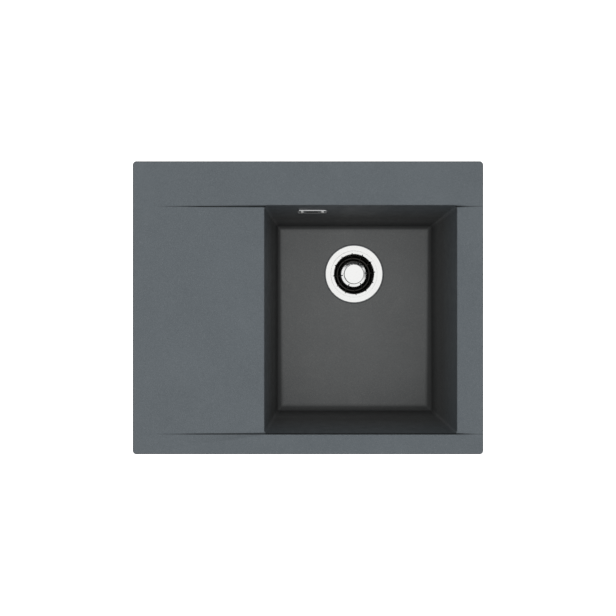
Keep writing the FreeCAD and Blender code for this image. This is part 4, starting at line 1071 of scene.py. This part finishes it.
@dataclass
class Moulding:
    """The composite moulding with its seal and its threaded inserts."""

    shop: Workshop
    rim_height: float = 0.008
    floor_height: float = -0.192
    mouth_low: Corner = (-0.077, 0.0325)
    mouth_high: Corner = (0.261, 0.431)
    skin: float = 0.0012
    margin_x: float = 0.29
    margin_y: Corner = (0.012, 0.49)

    def build(self) -> None:
        """Builds and dresses the pieces."""
        self.shell()
        self.shop.refine("rim_seal", "seal_strip")
        self.shop.refine("clip_inserts", "threaded_inserts")

    def shell(self) -> None:
        """The moulding itself, with its rough back marked."""
        piece = copy_of(self.shop.nodes["sink_body"], "sink_moulding", crease=28.0)
        mesh = piece.data
        marks = mesh.attributes.new("rough_back", "FLOAT", "FACE")
        marks.data.foreach_set("value", [self.is_back(face) for face in mesh.polygons])
        self.shop.hand_over(piece, "sink_body")

    def is_back(self, face: bpy.types.MeshPolygon) -> float:
        """Tells the rough back from the faces that show in use.

        Args:
            face: A face of the moulding.

        Returns:
            1 for a face of the back, and 0 for the others.
        """
        at, normal = face.center, face.normal
        if at.z > -0.0005 and (normal.z > -0.5 or at.z > self.rim_height - 0.001):
            outer = abs(at.x) > self.margin_x or not self.margin_y[0] <= at.y <= self.margin_y[1]
            if normal.z > 0.2 or outer:
                return 0.0
        return 0.0 if self.in_bowl(at) else 1.0

    def in_bowl(self, at: Vector) -> bool:
        """Tells whether a point lies on the bowl's inside.

        Args:
            at: The point.

        Returns:
            Whether it does.
        """
        inset = math.tan(WALL_DRAFT) * (self.rim_height - at.z) - self.skin
        beside = self.mouth_low[0] + inset < at.x < self.mouth_high[0] - inset
        behind = self.mouth_low[1] + inset < at.y < self.mouth_high[1] - inset
        return beside and behind and at.z > self.floor_height - self.skin


# ---------------------------------------------------------------- fixing clips


@dataclass
class Clips:
    """The eight claws and their hexagon screws."""

    shop: Workshop
    names: tuple[str, ...] = (
        "front_left", "front_right", "back_left", "back_right", "left_front", "left_back", "right_front", "right_back"
    )
    core_radius: float = 0.00212
    crest_radius: float = 0.0025
    pitch: float = 0.0008
    flange_radius: float = 0.0056
    flange_height: float = 0.0012
    head_half: float = 0.004
    head_height: float = 0.0036
    head_taper: float = 0.86
    chamfer: float = 0.0004
    tip: float = 0.0008
    thread_start: float = 0.0015

    def build(self) -> None:
        """Builds and dresses the claws and screws."""
        recipe = self.thread_recipe()
        for name in self.names:
            self.shop.refine(f"clip_claw_{name}", f"claw_of_{name}", edge=0.00025)
            self.screw(recipe, name)

    def thread_recipe(self) -> Recipe:
        """Makes a tree that winds a thread's ridge round a shank.

        Returns:
            The tree.
        """
        recipe = Recipe("screw thread")
        pitch, length, core = recipe.size("Pitch"), recipe.size("Length"), recipe.size("Core")
        ridge, start = recipe.size("Ridge"), recipe.size("Start")
        turns = recipe.maths("DIVIDE", length, pitch)
        feeds = {"Resolution": 18, "Rotations": turns, "Start Radius": core, "End Radius": core, "Height": length}
        helix = recipe.add("GeometryNodeCurveSpiral", feeds).outputs[0]
        upright = recipe.add("GeometryNodeSetCurveNormal", {"Curve": helix}, mode="Z_UP").outputs[0]
        profile = recipe.add("GeometryNodeCurvePrimitiveCircle", {"Resolution": 4, "Radius": ridge}).outputs[0]
        sweep = {"Curve": upright, "Profile Curve": profile, "Fill Caps": True}
        thread = recipe.add("GeometryNodeCurveToMesh", sweep).outputs[0]
        lift = {"Geometry": thread, "Translation": recipe.joined(0.0, 0.0, start)}
        raised = recipe.add("GeometryNodeTransform", lift).outputs[0]
        whole = recipe.add("GeometryNodeJoinGeometry", {"Geometry": recipe.base})
        recipe.feed(whole.inputs[0], raised)
        recipe.close(whole.outputs[0], self.shop.palette[Slot.ZINC])
        return recipe

    def blank(self, name: str, low: float, high: float) -> bpy.types.Mesh:
        """A screw without its thread: a chamfered hexagon head, a flange and a plain core.

        Args:
            name: The mesh's name.
            low: The height of the flange's upper face.
            high: The height of the shank's tip.

        Returns:
            The mesh.
        """
        flange_low = low - self.flange_height
        flange, core, wide, fine = self.flange_radius, self.core_radius, self.chamfer, self.chamfer / 2
        outline = [
            (0.0, flange_low), (flange - wide, flange_low), (flange, flange_low + wide),
            (flange, low - fine), (flange - fine, low), (core, low),
            (core, high - self.tip), (core - self.tip, high), (0.0, high),
        ]
        shape = bmesh.new()
        shape.from_mesh(turned(name, outline, 40))
        reach = self.head_half / math.cos(math.pi / 6)
        foot = flange_low - self.head_height
        levels = ((flange_low + fine, 1.0), (foot + wide + fine, 1.0), (foot, self.head_taper))
        turns = [math.radians(60 * i) for i in range(6)]
        rings = []
        for level, share in levels:
            spots = [(reach * share * math.cos(turn), reach * share * math.sin(turn)) for turn in turns]
            rings.append([shape.verts.new((x, y, level)) for x, y in spots])
        for upper, lower in zip(rings, rings[1:]):
            for i in range(6):
                j = (i + 1) % 6
                shape.faces.new((upper[i], upper[j], lower[j], lower[i]))
        shape.faces.new(rings[0])
        shape.faces.new(rings[-1])
        return mesh_of(name, shape)

    def screw(self, recipe: Recipe, name: str) -> None:
        """Builds one clip's screw in its packed place.

        Args:
            recipe: The tree that winds its thread.
            name: The clip's name.
        """
        node = f"clip_screw_{name}"
        low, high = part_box(node)
        middle = (low + high) / 2
        seat = low.z + self.head_height + self.flange_height
        piece = recipe.run(
            f"screw_of_{name}", self.blank(name, seat, high.z), pitch=self.pitch,
            length=high.z - seat - 2 * self.thread_start, core=self.core_radius,
            ridge=self.crest_radius - self.core_radius, start=seat + self.thread_start,
        )
        piece.data.transform(Matrix.Translation((middle.x, middle.y, 0.0)))
        self.shop.hand_over(shaded(piece, 30.0), node)


# ---------------------------------------------------------------- overflow


@dataclass
class Overflow:
    """The overflow: its chromed cover and screws, its housing, and the corrugated hose to the waste."""

    shop: Workshop
    hose_corners: tuple[tuple[float, float, float], ...] = (
        (0.0076, 0.45363548, -0.05990501), (0.0076, 0.43752925, -0.244), (0.0610852, 0.36304968, -0.244)
    )
    bend: float = 0.064
    valley: float = 0.0108
    crest: float = 0.0125
    cuff: float = 0.025
    ribs: int = 26
    screw_radius: float = 0.0036
    head_height: float = 0.0014
    head_rounding: float = 0.0013
    shank_radius: float = 0.002
    point: float = 0.001

    def build(self) -> None:
        """Builds and dresses the pieces."""
        self.shop.refine("overflow_plate", "overflow_cover", crease=40.0)
        self.shop.refine("overflow_seal_front", "cover_gasket")
        self.shop.refine("overflow_seal_rear", "housing_gasket")
        self.shop.refine("overflow_box", "overflow_housing", edge=0.0003)
        recipe = self.recess_recipe()
        for side in ("left", "right"):
            self.screw(recipe, side)
        self.hose()
        for end in ("top", "bottom"):
            self.shop.refine(f"hose_nut_{end}", f"union_nut_{end}", edge=0.0003)
            self.shop.refine(f"hose_washer_{end}", f"cone_washer_{end}")

    def recess_recipe(self) -> Recipe:
        """Makes a tree that cuts a cross-shaped driver's recess into a screw's head.

        Returns:
            The tree.
        """
        recipe = Recipe("cross recess")
        width, reach, depth, top = (recipe.size(label) for label in ("Width", "Reach", "Depth", "Top"))
        cutters = recipe.add("GeometryNodeMeshBoolean", operation="UNION")
        across = recipe.times(reach, 2.0)
        tall = recipe.times(depth, 2.0)
        for size in (recipe.joined(across, width, tall), recipe.joined(width, across, tall)):
            blade = recipe.add("GeometryNodeMeshCube", {"Size": size}).outputs[0]
            recipe.feed(cutters.inputs["Mesh 2"], blade)
        lift = {"Geometry": cutters.outputs[0], "Translation": recipe.joined(0.0, 0.0, top)}
        lifted = recipe.add("GeometryNodeTransform", lift).outputs[0]
        cut = recipe.add("GeometryNodeMeshBoolean", {"Mesh 1": recipe.base, "Mesh 2": lifted}, operation="DIFFERENCE")
        recipe.close(cut.outputs[0], self.shop.palette[Slot.PLAIN_STEEL])
        return recipe

    def screw(self, recipe: Recipe, side: str) -> None:
        """Builds one pan-headed screw, square to the drafted wall.

        Args:
            recipe: The tree that cuts its recess.
            side: Its side of the cover.
        """
        node = f"overflow_screw_{side}"
        low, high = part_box(node)
        middle = (low + high) / 2
        length = (high.y - low.y - 2 * self.screw_radius * math.sin(WALL_DRAFT)) / math.cos(WALL_DRAFT)
        head, shank, point = self.head_height, self.shank_radius, self.point
        outline = rounded([
            (0.0, 0.0), (self.screw_radius, 0.0, self.head_rounding), (self.screw_radius, -head),
            (shank, -head), (shank, point - length), (shank - point, -length), (0.0, -length),
        ])
        sizes = {"width": 0.0009, "reach": 0.0019, "depth": 0.0009, "top": 0.0}
        piece = recipe.run(f"cover_screw_{side}", turned(node, outline, 48), **sizes)
        piece.data.transform(Matrix.Translation((0.0, 0.0, length / 2)))
        turn = Matrix.Rotation(-WALL_DRAFT, 4, "X") @ Matrix.Rotation(math.radians(90), 4, "X")
        piece.data.transform(Matrix.Translation(middle) @ turn)
        self.shop.hand_over(shaded(piece, 30.0), node)

    def hose(self) -> None:
        """The corrugated hose along its route of two runs and one bend, with plain cuffs."""
        recipe = Recipe("corrugated hose")
        bend, valley, crest = recipe.size("Bend"), recipe.size("Valley"), recipe.size("Crest")
        cuff, ribs = recipe.size("Cuff"), recipe.size("Ribs", whole=True)
        route = recipe.add("GeometryNodeMeshToCurve", {"Mesh": recipe.base}).outputs[0]
        turning = {"Curve": route, "Count": 48, "Radius": bend}
        smooth = recipe.add("GeometryNodeFilletCurve", turning, mode="POLY").outputs[0]
        fine = recipe.add("GeometryNodeResampleCurve", {"Curve": smooth, "Count": 760}, mode="COUNT").outputs[0]
        along = recipe.add("GeometryNodeSplineParameter").outputs["Length"]
        total = recipe.add("GeometryNodeSplineLength").outputs["Length"]
        ribbed = recipe.minus(total, recipe.times(cuff, 2.0))
        share = recipe.maths("DIVIDE", recipe.minus(along, cuff), ribbed)
        phase = recipe.maths("FRACT", recipe.times(share, ribs))
        rise, fall = recipe.spread(phase, 0.08, 0.32), recipe.spread(phase, 0.87, 0.63)
        wave = recipe.maths("SMOOTH_MIN", rise, fall, 0.15)
        begun, unended = recipe.maths("GREATER_THAN", share, 0.0), recipe.maths("LESS_THAN", share, 1.0)
        ribbed = recipe.times(wave, recipe.times(begun, unended))
        height = recipe.times(ribbed, recipe.minus(crest, valley))
        radius = recipe.maths("MAXIMUM", recipe.plus(valley, height), valley)
        profile = recipe.add("GeometryNodeCurvePrimitiveCircle", {"Resolution": 48, "Radius": 1.0}).outputs[0]
        sweep = {"Curve": fine, "Profile Curve": profile, "Scale": radius, "Fill Caps": True}
        tube = recipe.add("GeometryNodeCurveToMesh", sweep).outputs[0]
        recipe.close(tube, self.shop.palette[Slot.HOSE_PLASTIC])
        line = bpy.data.meshes.new("hose_route")
        line.from_pydata(self.hose_corners, [(0, 1), (1, 2)], [])
        piece = recipe.run(
            "corrugated_hose", line,
            bend=self.bend, valley=self.valley, crest=self.crest, cuff=self.cuff, ribs=self.ribs,
        )
        self.shop.hand_over(shaded(piece, 50.0), "overflow_hose")


# ---------------------------------------------------------------- waste


@dataclass
class Waste:
    """The waste below the drain: the steel cup, its gaskets, the plastic body and the screw that clamps them."""

    shop: Workshop

    def build(self) -> None:
        """Builds and dresses the pieces."""
        marked_for_shade(self.shop.refine("strainer_flange", "drain_cup", crease=26.0))
        self.shop.refine("flange_gasket", "cup_gasket")
        self.shop.refine("body_gasket", "body_washer")
        self.shop.refine("waste_body", "waste_chamber", crease=30.0)
        self.shop.refine("waste_screw", "clamping_screw", edge=0.0003)
        self.shop.refine("waste_nut", "hub_nut", edge=0.0003)


# ---------------------------------------------------------------- basket


@dataclass
class Basket:
    """The strainer basket with its knob, spindle and rubber plug.

    The basket's profile gives (radius, height above its rim, inside radius of the bend) from the rim inwards.
    """

    shop: Workshop
    top: float = -0.1929
    sheet: float = 0.0008
    profile: tuple[tuple[float, float, float], ...] = (
        (0.046, 0.0, 0.0), (0.0396, 0.0, 0.0008), (0.0364, -0.022, 0.0006), (0.0338, -0.0265, 0.0006),
        (0.0312, -0.0265, 0.0006), (0.0288, -0.022, 0.0006), (0.0276, -0.014, 0.0005), (0.025, -0.0123, 0.0008),
        (0.0205, -0.011, 0.0012), (0.00408, -0.011, 0.0),
    )
    count: int = 6
    half: float = 0.001
    outside: float = 0.0426
    long_inside: float = 0.0215
    long_turn: float = math.radians(5.5)
    short_inside: float = 0.0284
    short_turn: float = math.radians(35.5)
    depth: float = 0.08

    def build(self) -> None:
        """Builds and dresses the pieces."""
        self.basket()
        self.shop.refine("basket_knob", "turning_knob", crease=26.0)
        self.shop.refine("basket_spindle", "knob_spindle", edge=0.0002)
        self.shop.refine("basket_seal", "rubber_plug", edge=0.0003)
        self.shop.refine("spindle_clip", "retaining_ring")

    def sheet_outline(self) -> list[Corner]:
        """The closed outline of the pressed sheet, with its bends rounded on both faces.

        Returns:
            The outline as (radius, height) points.
        """
        spots = [Vector(spot[:2]) for spot in self.profile]
        runs = [(after - before).normalized() for before, after in zip(spots, spots[1:])]
        upper: list[tuple[float, ...]] = []
        under: list[tuple[float, ...]] = []
        for (x, y, bend), before, after in zip(self.profile, [runs[0], *runs], [*runs, runs[-1]]):
            aside = Vector((-before.y - after.y, before.x + after.x)) * self.sheet / (1.0 + before.dot(after))
            turns_left = before.x * after.y - before.y * after.x > 0.0
            above, below = (bend + self.sheet, bend) if turns_left else (bend, bend + self.sheet)
            upper.append((x, y, above) if bend > 0.0 else (x, y))
            under.append((x + aside.x, y + aside.y, below) if bend > 0.0 else (x + aside.x, y + aside.y))
        return rounded([*upper, *reversed(under)], steps=4)

    def slot_recipe(self) -> Recipe:
        """Makes a tree that cuts two rings of radial slots, round at their ends, through a turned basket.

        Returns:
            The tree.
        """
        recipe = Recipe("basket slots")
        count, half = recipe.size("Count", whole=True), recipe.size("Half")
        outside, depth = recipe.size("Outside"), recipe.size("Depth")
        cut = recipe.add("GeometryNodeMeshBoolean", {"Mesh 1": recipe.base}, operation="DIFFERENCE")
        step = recipe.maths("DIVIDE", 2 * math.pi, count)
        for label in ("Long", "Short"):
            inside, turn = recipe.size(f"{label} inside"), recipe.size(f"{label} turn")
            ends = recipe.add("GeometryNodeJoinGeometry")
            for reach in (recipe.plus(inside, half), recipe.minus(outside, half)):
                post = recipe.add("GeometryNodeMeshCylinder", {"Vertices": 16, "Radius": half, "Depth": depth})
                place = {"Geometry": post.outputs[0], "Translation": recipe.joined(reach, 0.0, 0.0)}
                recipe.feed(ends.inputs[0], recipe.add("GeometryNodeTransform", place).outputs[0])
            blade = recipe.add("GeometryNodeConvexHull", {"Geometry": ends.outputs[0]}).outputs[0]
            spots = recipe.add("GeometryNodePoints", {"Count": count}).outputs[0]
            index = recipe.add("GeometryNodeInputIndex").outputs[0]
            angle = recipe.plus(recipe.times(index, step), turn)
            facing = recipe.add("FunctionNodeEulerToRotation", {0: recipe.joined(0.0, 0.0, angle)}).outputs[0]
            ring = {"Points": spots, "Instance": blade, "Rotation": facing}
            blades = recipe.add("GeometryNodeInstanceOnPoints", ring).outputs[0]
            recipe.feed(cut.inputs["Mesh 2"], blades)
        recipe.close(cut.outputs[0], self.shop.palette[Slot.POLISHED_STEEL])
        return recipe

    def basket(self) -> None:
        """The basket: a pressed sheet turned round the drain's axis, with its slots cut by the recipe."""
        base = turned("slotted_basket", self.sheet_outline(), 144)
        piece = self.slot_recipe().run(
            "slotted_basket", base, count=self.count, half=self.half, outside=self.outside, depth=self.depth,
            long_inside=self.long_inside, long_turn=self.long_turn,
            short_inside=self.short_inside, short_turn=self.short_turn,
        )
        piece.data.transform(Matrix.Translation((DRAIN.x, DRAIN.y, self.top)))
        self.shop.hand_over(marked_for_shade(shaded(piece, 32.0)), "strainer_basket")


# ---------------------------------------------------------------- studio


@dataclass
class Studio:
    """The floor, the light and the camera, straight above the sink."""

    camera_place: tuple[float, float, float] = (0.0, 0.2521, 1.35)
    lens: float = 45.13
    lamp_place: tuple[float, float, float] = (-0.05, 0.25, 4.0)
    lamp_size: float = 0.9
    lamp_power: float = 190.0
    ambient: float = 0.1
    floor_half: float = 6.0
    floor_tone: float = 0.6
    floor_glow: float = 0.7

    def build(self) -> None:
        """Builds the floor, the light and the camera."""
        self.floor()
        self.lamp()
        self.world()
        self.camera()

    @staticmethod
    def seen_share(bench: Bench) -> Socket:
        """Tells the rays that the camera sees straight, in a mirror or through a clear piece from the others.

        Args:
            bench: The tree that asks.

        Returns:
            1 for those rays, and 0 for the others.
        """
        path = bench.add("ShaderNodeLightPath").outputs
        first = bench.plus(path["Is Camera Ray"], path["Is Glossy Ray"])
        return bench.maths("ADD", first, path["Is Transmission Ray"], clamp=True)

    def floor(self) -> None:
        """A pale floor under the sink, which keeps its shadow and fades to white."""
        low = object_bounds()[0].z
        reach = self.floor_half
        mesh = bpy.data.meshes.new("studio_floor")
        corners = [(-reach, -reach, low), (reach, -reach, low), (reach, reach, low), (-reach, reach, low)]
        mesh.from_pydata(corners, [], [(0, 1, 2, 3)])
        plane = linked("studio_floor", mesh)
        material = bpy.data.materials.new("studio_floor")
        material.use_nodes = True
        bench = Bench(material.node_tree)
        shader = material.node_tree.nodes["Principled BSDF"]
        shader.inputs["Base Color"].default_value = (self.floor_tone, self.floor_tone, self.floor_tone, 1.0)
        shader.inputs["Roughness"].default_value = 0.9
        shader.inputs["Specular IOR Level"].default_value = 0.1
        strength = bench.times(self.seen_share(bench), self.floor_glow)
        glow = bench.add("ShaderNodeEmission", {"Color": (1.0, 1.0, 1.0, 1.0), "Strength": strength})
        lit = bench.add("ShaderNodeAddShader", {0: shader.outputs[0], 1: glow.outputs[0]})
        clear = bench.add("ShaderNodeBsdfTransparent")
        below = bench.add("ShaderNodeNewGeometry").outputs["Backfacing"]
        sided = bench.add("ShaderNodeMixShader", {0: below, 1: lit.outputs[0], 2: clear.outputs[0]})
        bench.feed(material.node_tree.nodes["Material Output"].inputs["Surface"], sided.outputs[0])
        mesh.materials.append(material)
        plane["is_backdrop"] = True
        log.info("studio floor at %.4f m", low)

    def lamp(self) -> None:
        """A round soft lamp high above the sink."""
        light = bpy.data.lights.new("overhead_lamp", "AREA")
        light.shape = "DISK"
        light.size = self.lamp_size
        light.energy = self.lamp_power
        lamp = bpy.data.objects.new("overhead_lamp", light)
        lamp.location = self.lamp_place
        lamp.visible_glossy = False
        bpy.context.scene.collection.objects.link(lamp)

    def world(self) -> None:
        """A weak even light from all round, which looks white to the camera and in mirrors."""
        world = bpy.data.worlds.new("studio_world")
        world.use_nodes = True
        bench = Bench(world.node_tree)
        weak = world.node_tree.nodes["Background"]
        weak.inputs["Color"].default_value = (1.0, 1.0, 1.0, 1.0)
        weak.inputs["Strength"].default_value = self.ambient
        white = bench.add("ShaderNodeBackground", {"Color": (1.0, 1.0, 1.0, 1.0), "Strength": 1.0})
        either = bench.add("ShaderNodeMixShader", {0: self.seen_share(bench), 1: weak.outputs[0], 2: white.outputs[0]})
        bench.feed(world.node_tree.nodes["World Output"].inputs["Surface"], either.outputs[0])
        bpy.context.scene.world = world

    def camera(self) -> None:
        """The camera, looking straight down with the ledge at the top of the picture."""
        lens = bpy.data.cameras.new("overhead_camera")
        lens.lens = self.lens
        lens.sensor_width = 36.0
        camera = bpy.data.objects.new("overhead_camera", lens)
        camera.location = self.camera_place
        bpy.context.scene.collection.objects.link(camera)
        bpy.context.scene.camera = camera


# ---------------------------------------------------------------- everything


def main() -> None:
    """Builds the sub-assemblies in order, then the studio."""
    logging.basicConfig(level=logging.INFO, format="%(name)s: %(message)s")
    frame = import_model()
    shop = Workshop(frame, Palette())
    for part in (Moulding(shop), Clips(shop), Overflow(shop), Waste(shop), Basket(shop), Studio()):
        part.build()
        log.info("%s done", type(part).__name__)
    settings = bpy.context.scene.view_settings
    settings.view_transform = "Standard"


if __name__ == "__main__":
    main()
